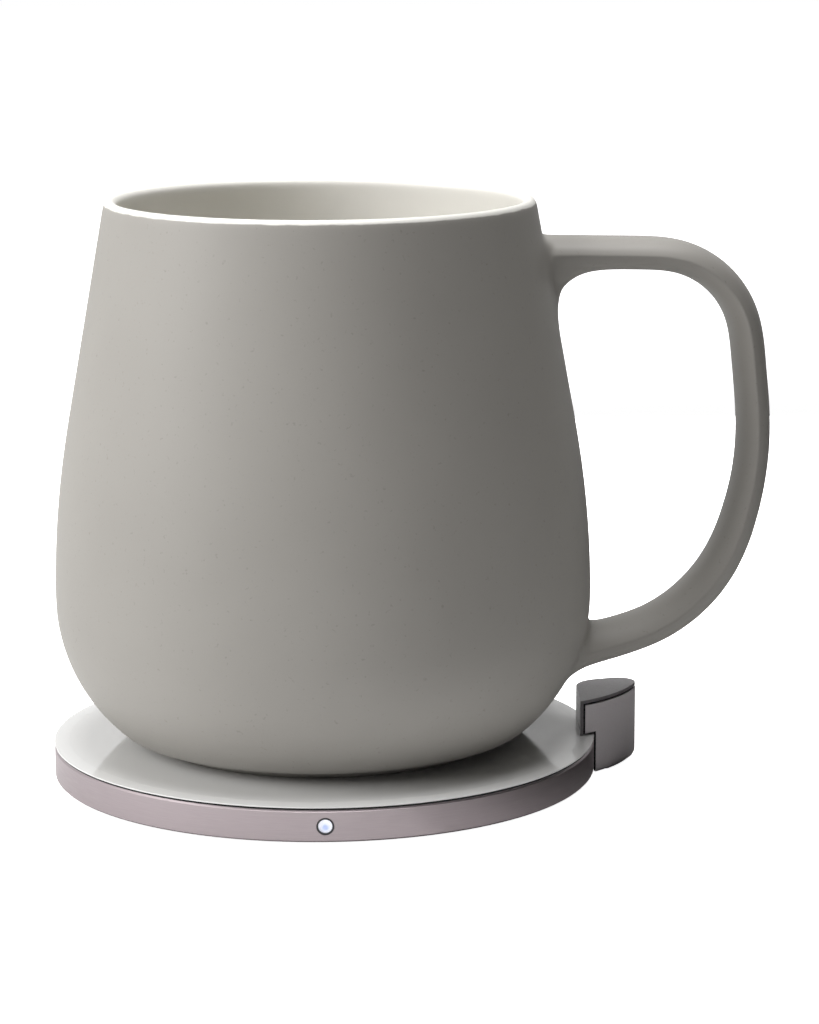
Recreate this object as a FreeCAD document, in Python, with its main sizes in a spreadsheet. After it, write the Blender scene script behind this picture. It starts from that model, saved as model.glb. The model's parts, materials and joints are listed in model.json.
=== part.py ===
import FreeCAD, Part
import Sketcher
import math
import os

# Electric mug warmer: a thin powered base with a post at its right edge, and the mug that stands on it.
# The origin is the middle of the base's foot mat, on the surface that it stands on.
# +Z is up, the small light faces -Y, and the post is on the +X side. Sizes are in millimetres.

doc = FreeCAD.newDocument("MugWarmer")
sheet = doc.addObject("Spreadsheet::Sheet", "Sizes")
sheet.Label = "Sizes"

SIZES = [
    # Base: outside
    ("base_radius", "45", "outside radius of the base"),
    ("base_lift", "1.5", "gap that the foot mat leaves under the side ring"),
    ("ring_height", "5.15", "side ring, from its lower to its upper edge"),
    ("ring_wall", "1.6", "side ring, wall"),
    ("ring_chamfer", "0.3", "side ring, bright chamfer on both outer edges"),
    ("seam_height", "0.35", "dark gasket between ring and plate"),
    ("seam_inset", "0.25", "how far the gasket stands back"),
    ("plate_rim", "0.2", "upright edge of the plate"),
    ("plate_fall", "0.12", "how far the outer band of the plate slopes down"),
    ("plate_band", "2.4", "width of that band"),
    ("plate_thickness", "1.1", "plate, inside the ring"),
    ("fit_gap", "0.1", "gap round a piece that drops into another"),
    ("ring_low", "=base_lift", ""),
    ("ring_top", "=ring_low + ring_height", ""),
    ("ring_inside", "=base_radius - ring_wall", ""),
    ("ring_foot", "=base_radius - ring_chamfer", "radius where the chamfers start"),
    ("ring_chamfer_low", "=ring_low + ring_chamfer", ""),
    ("ring_chamfer_top", "=ring_top - ring_chamfer", ""),
    ("seam_radius", "=base_radius - seam_inset", ""),
    ("seam_top", "=ring_top + seam_height", ""),
    ("plate_edge_top", "=seam_top + plate_rim", ""),
    ("plate_top", "=plate_edge_top + plate_fall", ""),
    ("plate_flat", "=base_radius - plate_band", ""),
    ("plate_under", "=plate_top - plate_thickness", ""),
    ("drop_in_radius", "=ring_inside - fit_gap", "pieces that drop into the ring"),
    ("spigot_radius", "=drop_in_radius - fit_gap", "part of the plate inside the gasket"),

    # Base: cover, mat and screws
    ("cover_thickness", "1.2", "bottom cover"),
    ("mat_margin", "6", "how far the foot mat stays inside the ring's outer face"),
    ("mat_sink", "0.35", "how deep the mat is let into the cover"),
    ("screw_inset", "3.85", "cover screws, from the ring's outer face"),
    ("screw_turn", "45", "angle of the first cover screw, in degrees"),
    ("screw_count", "4", "cover screws"),
    ("screw_shank", "0.8", "radius of a cover screw's shank"),
    ("screw_head", "1.4", "radius of its sunk head"),
    ("screw_head_height", "0.5", "height of that head"),
    ("screw_socket", "0.55", "radius of the socket in that head"),
    ("screw_socket_depth", "0.3", "depth of that socket"),
    ("screw_length", "2.9", "length of a cover screw"),
    ("lug_radius", "3.2", "boss in the ring that takes a screw"),
    ("lug_height", "2.6", "height of that boss"),
    ("thread_gap", "0.05", "gap round a screw"),
    ("mat_radius", "=base_radius - mat_margin", ""),
    ("screw_circle", "=base_radius - screw_inset", ""),
    ("cover_top", "=base_lift + cover_thickness", ""),
    ("mat_top", "=base_lift + mat_sink", ""),
    ("mat_pocket", "=mat_radius + fit_gap", ""),
    ("screw_place", "=screw_circle * cos(screw_turn)", ""),
    ("lug_bore", "=screw_shank + thread_gap", ""),
    ("head_bore", "=screw_head + thread_gap", ""),
    ("head_top", "=base_lift + screw_head_height", ""),
    ("shank_length", "=screw_length - screw_head_height", ""),

    # Base: electronics
    ("rib_height", "0.4", "rib that carries the board"),
    ("rib_width", "2", "that rib"),
    ("rib_inset", "1", "that rib, from the board's edge"),
    ("board_margin", "9", "main board, from the ring's outer face"),
    ("board_thickness", "0.8", "main board"),
    ("tray_margin", "9", "coil tray, from the board's edge"),
    ("tray_wall", "0.8", "rim and floor of the coil tray"),
    ("ferrite_thickness", "0.6", "ferrite sheets"),
    ("coil_inside", "9", "inner radius of the coils"),
    ("coil_margin", "0.7", "gap between the base's coil and its tray"),
    ("coil_thickness", "0.95", "base's coil"),
    ("pad_hole", "2.4", "hole in the coil pad for the sensor"),
    ("sensor_radius", "1.6", "temperature sensor bead"),
    ("board_radius", "=base_radius - board_margin", ""),
    ("rib_outside", "=board_radius - rib_inset", ""),
    ("rib_inside", "=rib_outside - rib_width", ""),
    ("tray_radius", "=board_radius - tray_margin", ""),
    ("board_low", "=cover_top + rib_height", ""),
    ("board_top", "=board_low + board_thickness", ""),
    ("tray_floor", "=board_top + tray_wall / 2", ""),
    ("tray_inside", "=tray_radius - tray_wall", ""),
    ("ferrite_radius", "=tray_inside - fit_gap", ""),
    ("coil_outside", "=tray_inside - coil_margin", ""),
    ("coil_low", "=tray_floor + ferrite_thickness", ""),
    ("coil_top", "=coil_low + coil_thickness", ""),
    ("chip_side", "5", "control chip, width and length"),
    ("chip_height", "0.9", "control chip"),
    ("chip_inset", "4.5", "chip's middle, from the board's edge"),
    ("inductor_side", "5", "power inductor, width and length"),
    ("inductor_height", "2", "power inductor"),
    ("inductor_across", "11", "inductor's middle, towards -X"),
    ("inductor_inset", "6.3", "inductor's middle towards +Y, from the board's edge"),
    ("capacitor_length", "3.2", "capacitor"),
    ("capacitor_width", "1.6", "capacitor"),
    ("capacitor_height", "1.3", "capacitor"),
    ("capacitor_inset", "5", "capacitors' middles, from the board's edge"),
    ("capacitor_count", "4", "capacitors"),
    ("capacitor_sweep", "45", "angle from the first to the last, in degrees"),
    ("capacitor_start", "25", "angle of the first one, in degrees"),
    ("chip_left", "=board_radius - chip_inset + chip_side / 2", ""),
    ("chip_front", "=chip_side / 2", ""),
    ("inductor_left", "=inductor_across + inductor_side / 2", ""),
    ("inductor_front", "=board_radius - inductor_inset - inductor_side / 2", ""),
    ("capacitor_circle", "=board_radius - capacitor_inset", ""),
    ("capacitor_near", "=capacitor_circle - capacitor_length / 2", ""),
    ("capacitor_far", "=capacitor_circle + capacitor_length / 2", ""),
    ("capacitor_half", "=capacitor_width / 2", ""),

    # Base: light
    ("light_height", "2.59", "middle of the light above the ring's lower edge"),
    ("bezel_radius", "1.38", "dark ring round the light"),
    ("lens_radius", "1.08", "lens"),
    ("lens_recess", "0.25", "how far the lens stands back"),
    ("bezel_depth", "1.8", "length of the dark ring"),
    ("bezel_gap", "0.02", "gap round the bezel, inside and outside"),
    ("diode_length", "3", "light diode"),
    ("diode_width", "1.4", "light diode"),
    ("diode_height", "1.1", "light diode"),
    ("light_gap", "0.2", "gap between diode and light pipe"),
    ("light_level", "=ring_low + light_height", ""),
    ("light_bore", "=bezel_radius + bezel_gap", ""),
    ("bezel_bore", "=lens_radius + bezel_gap", ""),
    ("bezel_back", "=base_radius - bezel_depth", ""),
    ("diode_front", "=board_radius - light_gap / 2", ""),
    ("pipe_back", "=board_radius + light_gap", ""),
    ("pipe_front", "=base_radius - lens_recess", ""),
    ("pipe_length", "=pipe_front - pipe_back", ""),
    ("diode_left", "=diode_length / 2", ""),

    # Post: outside. It is leaf-shaped in plan, with a flat face towards the mug.
    ("post_lift", "0.15", "gap under the post"),
    ("post_height", "13.15", "post"),
    ("post_overlap", "2.55", "how far the flat face stands inside the ring's outer face"),
    ("post_front", "5", "sharp front corner, towards -Y"),
    ("post_depth", "10.2", "from the flat face to where the long curve meets the tip"),
    ("post_tip_back", "7.6", "where the curve meets the tip, towards +Y"),
    ("post_tip_radius", "2.9", "tip"),
    ("post_tip_width", "3.55", "from there to the tip's other end, towards -X"),
    ("post_curve", "26", "radius of the long curve"),
    ("post_lean", "16.5", "slant of the back side, in degrees"),
    ("post_back", "9.39", "where the slant would cross the flat face"),
    ("post_corner", "5.2", "rounded corner between back side and flat face"),
    ("post_foot_round", "1.6", "rounded lower edge"),
    ("post_top_chamfer", "0.35", "thin chamfer round the top"),
    ("post_gap", "0.05", "gap between the post and the ring or plate"),
    ("post_face_side", "=base_radius - post_overlap", ""),
    ("post_tip_side", "=post_face_side + post_depth", ""),
    ("post_top", "=post_lift + post_height", ""),
    ("post_corner_cut", "=post_corner * tan((90 - post_lean) / 2)", ""),
    ("post_face_back", "=post_back - post_corner_cut", ""),
    ("post_corner_side", "=post_face_side + post_corner_cut * cos(post_lean)", ""),
    ("post_corner_back", "=post_back + post_corner_cut * sin(post_lean)", ""),
    ("post_slant_side", "=post_tip_side - post_tip_width", ""),
    ("post_slant_back", "=post_back + (post_slant_side - post_face_side) * tan(post_lean)", ""),
    ("post_ring_side", "=base_radius + post_gap", ""),
    ("post_over_plate", "=plate_top + post_gap", ""),

    # Post: inside
    ("post_wall", "1.0", "walls of the post"),
    ("post_roof", "1.1", "top of the post"),
    ("post_base_height", "1.0", "plate that closes the post from below"),
    ("hollow_gap", "0.15", "hollow's flat side, outside the ring"),
    ("hollow_front", "0.8", "hollow's front side, towards +Y"),
    ("window_front", "0.9", "window to the ring, front side"),
    ("window_back", "7.2", "window to the ring, back side"),
    ("window_reach", "2", "how far inside the ring's outer face the cut for it starts"),
    ("panel_front", "4", "inset panel on the flat face, towards -Y"),
    ("panel_back", "4.6", "inset panel, towards +Y"),
    ("panel_margin", "0.8", "post above and below the inset panel"),
    ("panel_depth", "0.6", "inset panel"),
    ("panel_chamfer", "0.28", "light chamfer round the panel"),
    ("panel_gap", "0.04", "gap round the panel"),
    ("curve_width", "=post_tip_side - post_face_side", ""),
    ("curve_rise", "=post_tip_back + post_front", ""),
    ("curve_half", "=sqrt(curve_width^2 + curve_rise^2) / 2", ""),
    ("curve_bow", "=sqrt(post_curve^2 - curve_half^2)", ""),
    ("curve_side_shift", "=curve_rise / (2 * curve_half) * curve_bow", ""),
    ("curve_back_shift", "=curve_width / (2 * curve_half) * curve_bow", ""),
    ("curve_middle_side", "=(post_face_side + post_tip_side) / 2 - curve_side_shift", ""),
    ("curve_middle_back", "=(post_tip_back - post_front) / 2 + curve_back_shift", ""),
    ("hollow_curve", "=post_curve - post_wall", ""),
    ("hollow_side", "=base_radius + hollow_gap", ""),
    ("hollow_front_drop", "=curve_middle_back - hollow_front", ""),
    ("hollow_tip_drop", "=curve_middle_back - post_tip_back", ""),
    ("hollow_front_side", "=curve_middle_side + sqrt(hollow_curve^2 - hollow_front_drop^2)", ""),
    ("hollow_tip_side", "=curve_middle_side + sqrt(hollow_curve^2 - hollow_tip_drop^2)", ""),
    ("hollow_slant", "=post_back - post_wall / cos(post_lean)", ""),
    ("hollow_slant_back", "=hollow_slant + (post_slant_side - post_face_side) * tan(post_lean)", ""),
    ("hollow_side_back", "=hollow_slant + (hollow_side - post_face_side) * tan(post_lean)", ""),
    ("hollow_height", "=post_height - post_roof", ""),
    ("post_floor", "=post_lift + post_base_height", ""),
    ("window_height", "=ring_top - post_floor", ""),
    ("window_side", "=base_radius - window_reach", ""),
    ("panel_low", "=post_over_plate + panel_margin", ""),
    ("panel_high", "=post_top - panel_margin", ""),
    ("panel_hole_low", "=panel_low - panel_gap", ""),
    ("panel_hole_high", "=panel_high + panel_gap", ""),
    ("panel_hole_front", "=panel_front + panel_gap", ""),
    ("panel_hole_back", "=panel_back + panel_gap", ""),

    # Post: inlet, its board and the flat cable to the main board
    ("inlet_width", "3.26", "outside width of the inlet's shell"),
    ("inlet_height", "8.94", "outside height of the inlet's shell"),
    ("inlet_wall", "0.3", "wall of that shell"),
    ("inlet_length", "6.2", "length of that shell"),
    ("inlet_mouth", "10.4", "mouth of the shell, towards +Y"),
    ("inlet_floor", "0.6", "back wall of that shell"),
    ("inlet_room", "1.1", "room between the post's base plate and the shell"),
    ("inlet_clear", "0.06", "gap round the shell's mouth"),
    ("mouth_reach", "1", "how far outside the slanted side the cut for the mouth starts"),
    ("mouth_inside", "1.6", "how far past the shell's mouth that cut goes"),
    ("tongue_thickness", "0.7", "contact tongue"),
    ("tongue_height", "6.7", "contact tongue"),
    ("tongue_length", "4.6", "contact tongue"),
    ("inlet_board_gap", "0.15", "gap between the hollow's flat side and the board"),
    ("inlet_board_thickness", "1.0", "inlet's board"),
    ("inlet_board_front", "1.0", "inlet's board, front edge"),
    ("inlet_board_back", "7.4", "inlet's board, back edge"),
    ("ribbon_front", "2.2", "flat cable, front edge"),
    ("ribbon_back", "5.8", "flat cable, back edge"),
    ("ribbon_thickness", "0.4", "flat cable"),
    ("ribbon_lap", "3", "flat cable's length on the main board"),
    ("ribbon_gap", "0.25", "room round the flat cable in the ring"),
    ("inlet_board_side", "=hollow_side + inlet_board_gap", ""),
    ("inlet_left", "=inlet_board_side + inlet_board_thickness", ""),
    ("inlet_right", "=inlet_left + inlet_width", ""),
    ("inlet_middle", "=inlet_left + inlet_width / 2", ""),
    ("inlet_low", "=post_floor + inlet_room", ""),
    ("inlet_high", "=inlet_low + inlet_height", ""),
    ("inlet_turn", "=inlet_width / 2", "radius of its rounded ends"),
    ("inlet_turn_low", "=inlet_low + inlet_turn", ""),
    ("inlet_turn_high", "=inlet_high - inlet_turn", ""),
    ("bore_turn", "=inlet_turn - inlet_wall", ""),
    ("bore_left", "=inlet_left + inlet_wall", ""),
    ("bore_right", "=inlet_right - inlet_wall", ""),
    ("bore_low", "=inlet_low + inlet_wall", ""),
    ("bore_high", "=inlet_high - inlet_wall", ""),
    ("bore_depth", "=inlet_length - inlet_floor", ""),
    ("mouth_turn", "=inlet_turn + inlet_clear", ""),
    ("mouth_left", "=inlet_left - inlet_clear", ""),
    ("mouth_right", "=inlet_right + inlet_clear", ""),
    ("mouth_low", "=inlet_low - inlet_clear", ""),
    ("mouth_high", "=inlet_high + inlet_clear", ""),
    ("mouth_start", "=post_slant_back + mouth_reach", ""),
    ("mouth_depth", "=mouth_start - inlet_mouth + mouth_inside", ""),
    ("tongue_left", "=inlet_middle - tongue_thickness / 2", ""),
    ("tongue_front", "=inlet_mouth - bore_depth", ""),
    ("tongue_low", "=inlet_low + (inlet_height - tongue_height) / 2", ""),
    ("inlet_board_length", "=inlet_board_back - inlet_board_front", ""),
    ("inlet_board_height", "=hollow_height - post_base_height - fit_gap", ""),
    ("ribbon_width", "=ribbon_back - ribbon_front", ""),
    ("ribbon_start", "=board_radius - ribbon_lap", ""),
    ("ribbon_length", "=inlet_board_side - ribbon_start", ""),
    ("slot_front", "=ribbon_front - ribbon_gap", ""),
    ("slot_back", "=ribbon_back + ribbon_gap", ""),
    ("slot_low", "=board_top - ribbon_gap", ""),
    ("slot_high", "=board_top + ribbon_thickness + ribbon_gap", ""),

    # Post: screws from inside the ring
    ("post_screw_front", "1.3", "front screw, towards -Y"),
    ("post_screw_back", "8.7", "back screw, towards +Y"),
    ("post_screw_shank", "0.65", "radius of the shank"),
    ("post_screw_head", "1.2", "radius of the head"),
    ("post_screw_head_height", "0.7", "height of the head"),
    ("post_screw_reach", "0.9", "how far the shank reaches past the ring"),
    ("post_screw_level", "=(ring_low + ring_top) / 2", ""),
    ("post_screw_bore", "=post_screw_shank + thread_gap", ""),
    ("post_screw_seat", "=sqrt(ring_inside^2 - (post_screw_back + post_screw_head)^2) - thread_gap", ""),
    ("post_screw_start", "=post_screw_seat - post_screw_head_height", ""),
    ("post_screw_end", "=base_radius + post_screw_reach", ""),
    ("post_screw_pitch", "=post_screw_front + post_screw_back", ""),
    ("post_screw_shank_side", "=post_screw_shank - post_screw_front", ""),
    ("post_screw_head_side", "=post_screw_head - post_screw_front", ""),
    ("post_bore_depth", "=post_screw_end + thread_gap - window_side", ""),

    # Mug: heights are above the plate that it stands on
    ("mug_radius", "44.33", "widest outside radius of the mug"),
    ("mug_height", "89.5", "mug"),
    ("belly_height", "24.1", "height of the widest place"),
    ("belly_curve", "28.46", "radius of the curve below it"),
    ("side_curve", "157", "radius of the curve above it"),
    ("side_lean", "10.3", "slant of the straight upper wall, in degrees"),
    ("foot_inset", "14.83", "foot's outer edge, inside the widest radius"),
    ("foot_flare", "0.8", "how much wider the foot is at its top"),
    ("foot_height", "1.2", "foot"),
    ("foot_step", "0.3", "small step between foot and belly"),
    ("mug_wall", "3.1", "wall at the belly"),
    ("lip_round", "1.15", "radius of the rounded rim"),
    ("floor_thickness", "4", "ceramic floor over the heater"),
    ("floor_curve", "17.2", "curve between floor and wall, inside"),
    ("heater_depth", "3.2", "recess in the foot for the heater"),
    ("foot_land", "3.2", "width of the foot that stands on the plate"),
    ("foot_radius", "=mug_radius - foot_inset", ""),
    ("heater_radius", "=foot_radius - foot_land", ""),
    ("belly_middle", "=mug_radius - belly_curve", ""),
    ("belly_low", "=foot_height + foot_step", ""),
    ("belly_low_radius", "=belly_middle + sqrt(belly_curve^2 - (belly_height - belly_low)^2)", ""),
    ("foot_top_radius", "=foot_radius + foot_flare", ""),
    ("side_low", "=belly_height + side_curve * sin(side_lean)", ""),
    ("side_low_radius", "=mug_radius - side_curve * (1 - cos(side_lean))", ""),
    ("lip_low", "=mug_height - lip_round", ""),
    ("lip_radius", "=side_low_radius - (lip_low - side_low) * tan(side_lean)", ""),
    ("lip_middle", "=lip_radius - lip_round", ""),
    ("lip_inside", "=lip_radius - 2 * lip_round", ""),
    ("inner_radius", "=mug_radius - mug_wall", ""),
    ("inner_curve", "=side_curve - mug_wall", ""),
    ("inner_side_radius", "=side_low_radius - mug_wall", ""),
    ("floor_top", "=heater_depth + floor_thickness", ""),
    ("floor_radius", "=inner_radius - floor_curve", ""),
    ("inner_belly", "=floor_top + floor_curve", ""),

    # Mug: heater in the foot
    ("seal_lift", "0.2", "how far the sealing disc stands back"),
    ("seal_thickness", "0.8", "disc that seals the foot"),
    ("mug_coil_inside", "8", "inner radius of the mug's coil"),
    ("film_thickness", "0.3", "heating film"),
    ("seal_top", "=seal_lift + seal_thickness", ""),
    ("seal_radius", "=heater_radius - fit_gap", ""),
    ("mug_ferrite_top", "=seal_top + ferrite_thickness", ""),
    ("mug_coil_top", "=heater_depth - film_thickness", ""),
    ("mug_part_radius", "=heater_radius - tray_wall", ""),

    # Handle: its centre line runs through these corners, each rounded by an arc.
    # Reaches are beyond the mug's widest radius, levels are shares of the mug's height.
    ("handle_turn", "2", "how far the handle is turned to the back, in degrees"),
    ("handle_thickness", "5.4", "handle, in the plane of its loop"),
    ("handle_width", "12.5", "handle, across that plane"),
    ("handle_end_round", "1.6", "rounded ends of its oval section"),
    ("handle_root_inset", "10.33", "inner ends of the centre line, inside the widest radius"),
    ("handle_high_level", "0.8929", "upper end"),
    ("handle_top_reach", "24.04", "upper corner"),
    ("handle_top_level", "0.8807", "upper corner"),
    ("handle_top_curve", "13.6", "upper corner, radius"),
    ("handle_side_reach", "28.16", "side corner"),
    ("handle_side_level", "0.5", "side corner"),
    ("handle_low_reach", "19.56", "lower corner"),
    ("handle_low_level", "0.2163", "lower corner"),
    ("handle_end_level", "0.1297", "lower end"),
    ("handle_side_share", "0.427", "share of the lower run that the side corner's arc takes"),
    ("handle_low_share", "0.5286", "share of the lower run that the lower corner's arc takes"),
    ("handle_root", "=mug_radius - handle_root_inset", ""),
    ("handle_high", "=mug_height * handle_high_level", ""),
    ("handle_top_out", "=mug_radius + handle_top_reach", ""),
    ("handle_top_height", "=mug_height * handle_top_level", ""),
    ("handle_side_out", "=mug_radius + handle_side_reach", ""),
    ("handle_side_height", "=mug_height * handle_side_level", ""),
    ("handle_low_out", "=mug_radius + handle_low_reach", ""),
    ("handle_low_height", "=mug_height * handle_low_level", ""),
    ("handle_end", "=mug_height * handle_end_level", ""),
    ("handle_side_width", "=handle_side_out - handle_top_out", ""),
    ("handle_side_fall", "=handle_top_height - handle_side_height", ""),
    ("handle_run_width", "=handle_side_out - handle_low_out", ""),
    ("handle_run_fall", "=handle_side_height - handle_low_height", ""),
    ("handle_end_width", "=handle_low_out - handle_root", ""),
    ("handle_end_fall", "=handle_low_height - handle_end", ""),
    ("handle_run", "=sqrt(handle_run_width^2 + handle_run_fall^2)", ""),
    ("handle_side_angle", "=atan(handle_side_width / handle_side_fall)", ""),
    ("handle_run_angle", "=atan(handle_run_width / handle_run_fall)", ""),
    ("handle_end_angle", "=atan(handle_end_width / handle_end_fall)", ""),
    ("handle_side_cut", "=handle_run * handle_side_share", ""),
    ("handle_low_cut", "=handle_run * handle_low_share", ""),
    ("handle_side_curve", "=handle_side_cut / tan((handle_side_angle + handle_run_angle) / 2)", ""),
    ("handle_low_curve", "=handle_low_cut / tan((handle_end_angle - handle_run_angle) / 2)", ""),
    ("oval_half", "=handle_thickness / 2", ""),
    ("oval_end", "=handle_width / 2 - handle_end_round", "middle of the rounded ends"),
    ("oval_spare", "=oval_half - handle_end_round", ""),
    ("oval_flank", "=(oval_end^2 + oval_half^2 - handle_end_round^2) / (2 * oval_spare)", ""),
    ("oval_slope", "=oval_flank / (oval_flank - handle_end_round)", ""),
    ("oval_side", "=oval_end * oval_slope", "where the flat arcs meet the rounded ends"),
    ("oval_rise", "=oval_half - oval_flank + (oval_flank - oval_half) * oval_slope", ""),
    ("oval_low", "=handle_high - oval_rise", ""),
    ("oval_high", "=handle_high + oval_rise", ""),
]

for row, (alias, text, note) in enumerate(SIZES, start=1):
    sheet.set(f"A{row}", note)
    sheet.set(f"B{row}", text)
    sheet.setAlias(f"B{row}", alias)
doc.recompute()


def size(name):
    """Value of a named size. A leading minus gives its negative, and "0" is zero."""
    if name == "0":
        return 0.0
    value = float(sheet.get(name.lstrip("-")))
    return -value if name.startswith("-") else value


def bind(thing, path, name):
    """Tie one property or constraint to a named size."""
    if name != "0":
        sign = "-" if name.startswith("-") else ""
        thing.setExpression(path, f"{sign}Sizes.{name.lstrip('-')}")


def new_body(name):
    body = doc.addObject("PartDesign::Body", name)
    body.Label = name
    return body


def new_sketch(body, plane, offset="0"):
    """Sketch on one of the body's own planes, moved along its normal."""
    support = next(item for item in body.Origin.OriginFeatures if item.Role == plane)
    sketch = body.newObject("Sketcher::SketchObject", f"{body.Name}_sketch")
    sketch.AttachmentSupport = [(support, "")]
    sketch.MapMode = "FlatFace"
    bind(sketch, "AttachmentOffset.Base.z", offset)
    return sketch


def named(sketch, constraint, label, size_name):
    index = sketch.addConstraint(constraint)
    sketch.renameConstraint(index, label)
    bind(sketch, f"Constraints.{label}", size_name)


def place_point(sketch, piece, end, label, x_name, y_name):
    """Fix one point of a sketch at two named sizes."""
    if x_name == "0":
        sketch.addConstraint(Sketcher.Constraint("PointOnObject", piece, end, -2))
    else:
        across = Sketcher.Constraint("DistanceX", -1, 1, piece, end, size(x_name))
        named(sketch, across, f"{label}_x", x_name)
    if y_name == "0":
        sketch.addConstraint(Sketcher.Constraint("PointOnObject", piece, end, -1))
    else:
        up = Sketcher.Constraint("DistanceY", -1, 1, piece, end, size(y_name))
        named(sketch, up, f"{label}_y", y_name)


def arc_middle(start, end, radius, side):
    """Middle point of the short arc between two points, with its centre to the left or right."""
    chord = end.sub(start)
    half = chord.Length / 2
    left = FreeCAD.Vector(-chord.y, chord.x, 0).normalize()
    if side == "right":
        left = left.negative()
    bow = radius - math.sqrt(max(radius ** 2 - half ** 2, 0.0))
    return (start + end) * 0.5 - left * bow


def draw_outline(sketch, corners, label="corner"):
    """Closed outline. A corner is (x, y), or (x, y, radius, side) where an arc leaves it."""
    points = [FreeCAD.Vector(size(corner[0]), size(corner[1]), 0) for corner in corners]
    runs = []
    for number, corner in enumerate(corners):
        start = points[number]
        end = points[(number + 1) % len(points)]
        if len(corner) == 2:
            piece = sketch.addGeometry(Part.LineSegment(start, end))
            runs.append((piece, 1, 2))
            continue
        middle = arc_middle(start, end, size(corner[2]), corner[3])
        if corner[3] == "left":
            piece = sketch.addGeometry(Part.Arc(start, middle, end))
            runs.append((piece, 1, 2))
        else:
            piece = sketch.addGeometry(Part.Arc(end, middle, start))
            runs.append((piece, 2, 1))
    for number, (piece, first, last) in enumerate(runs):
        following, following_first, _ = runs[(number + 1) % len(runs)]
        sketch.addConstraint(Sketcher.Constraint("Coincident", piece, last, following, following_first))
    for number, corner in enumerate(corners):
        piece, first, _ = runs[number]
        place_point(sketch, piece, first, f"{label}{number}", corner[0], corner[1])
        if len(corner) > 2:
            bend = Sketcher.Constraint("Radius", piece, size(corner[2]))
            named(sketch, bend, f"{label}{number}_radius", corner[2])


def draw_circle(sketch, x_name, y_name, radius_name, label="circle"):
    middle = FreeCAD.Vector(size(x_name), size(y_name), 0)
    piece = sketch.addGeometry(Part.Circle(middle, FreeCAD.Vector(0, 0, 1), size(radius_name)))
    place_point(sketch, piece, 3, label, x_name, y_name)
    named(sketch, Sketcher.Constraint("Radius", piece, size(radius_name)), f"{label}_radius", radius_name)


def draw_rounded_path(sketch, corners):
    """Open path: straight runs, with a tangent arc at each inner corner (x, y, radius)."""
    points = [FreeCAD.Vector(size(corner[0]), size(corner[1]), 0) for corner in corners]
    bends = []
    for before, point, after, corner in zip(points, points[1:], points[2:], corners[1:]):
        towards_before = before.sub(point).normalize()
        towards_after = after.sub(point).normalize()
        half_turn = (math.pi - towards_before.getAngle(towards_after)) / 2
        cut = size(corner[2]) * math.tan(half_turn)
        start = point + towards_before * cut
        end = point + towards_after * cut
        side = "right" if (towards_before.cross(towards_after)).z > 0 else "left"
        bends.append((start, arc_middle(start, end, size(corner[2]), side), end, side))
    ends = [points[0]] + [point for bend in bends for point in (bend[0], bend[2])] + [points[-1]]
    lines = [sketch.addGeometry(Part.LineSegment(ends[i], ends[i + 1])) for i in range(0, len(ends), 2)]
    place_point(sketch, lines[0], 1, "start", corners[0][0], corners[0][1])
    place_point(sketch, lines[-1], 2, "end", corners[-1][0], corners[-1][1])
    for number, (start, middle, end, side) in enumerate(bends):
        corner = corners[number + 1]
        dot = sketch.addGeometry(Part.Point(points[number + 1]), True)
        place_point(sketch, dot, 1, f"bend{number}", corner[0], corner[1])
        if side == "left":
            arc = sketch.addGeometry(Part.Arc(start, middle, end))
            first, last = 1, 2
        else:
            arc = sketch.addGeometry(Part.Arc(end, middle, start))
            first, last = 2, 1
        sketch.addConstraint(Sketcher.Constraint("PointOnObject", dot, 1, lines[number]))
        sketch.addConstraint(Sketcher.Constraint("PointOnObject", dot, 1, lines[number + 1]))
        sketch.addConstraint(Sketcher.Constraint("Tangent", lines[number], 2, arc, first))
        sketch.addConstraint(Sketcher.Constraint("Tangent", arc, last, lines[number + 1], 1))
        named(sketch, Sketcher.Constraint("Radius", arc, size(corner[2])), f"bend{number}_radius", corner[2])


def sketch_axis(sketch, start_name, end_name, level_name):
    """Construction line along the sketch's first direction, for turning about."""
    level = size(level_name)
    line = Part.LineSegment(FreeCAD.Vector(size(start_name), level, 0),
                            FreeCAD.Vector(size(end_name), level, 0))
    piece = sketch.addGeometry(line, True)
    place_point(sketch, piece, 1, "axis_start", start_name, level_name)
    place_point(sketch, piece, 2, "axis_end", end_name, level_name)


def rectangle(left, right, low, high):
    return [(left, low), (right, low), (right, high), (left, high)]


def add_feature(body, kind, sketch):
    feature = body.newObject(f"PartDesign::{kind}", f"{body.Name}_{kind}")
    feature.Profile = sketch
    return feature


def add_revolution(body, corners, kind="Revolution"):
    """Turn an outline in the XZ plane about the Z axis."""
    sketch = new_sketch(body, "XZ_Plane")
    draw_outline(sketch, corners)
    feature = add_feature(body, kind, sketch)
    feature.ReferenceAxis = (sketch, ["V_Axis"])
    feature.Angle = 360
    doc.recompute()
    return feature


def turned(name, corners):
    body = new_body(name)
    add_revolution(body, corners)
    return body


def add_pad(body, sketch, length):
    feature = add_feature(body, "Pad", sketch)
    bind(feature, "Length", length)
    doc.recompute()
    return feature


def add_pocket(body, sketch, length=None, reverse=False):
    """Cut a sketch into the body, through all of it where no length is given."""
    before = body.Shape.Volume
    feature = add_feature(body, "Pocket", sketch)
    feature.Reversed = reverse
    if length is None:
        feature.Type = "ThroughAll"
    else:
        bind(feature, "Length", length)
    doc.recompute()
    if not body.Shape.Volume < before - 1e-6:
        raise RuntimeError(f"a pocket in {body.Label} cuts nothing")
    return feature


def add_polar(body, originals, count, angle):
    pattern = body.newObject("PartDesign::PolarPattern", f"{body.Name}_pattern")
    pattern.Originals = originals
    axis = next(item for item in body.Origin.OriginFeatures if item.Role == "Z_Axis")
    pattern.Axis = (axis, [""])
    if angle is None:
        pattern.Angle = 360
    else:
        bind(pattern, "Angle", angle)
    bind(pattern, "Occurrences", count)
    body.Tip = pattern
    doc.recompute()
    return pattern


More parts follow.
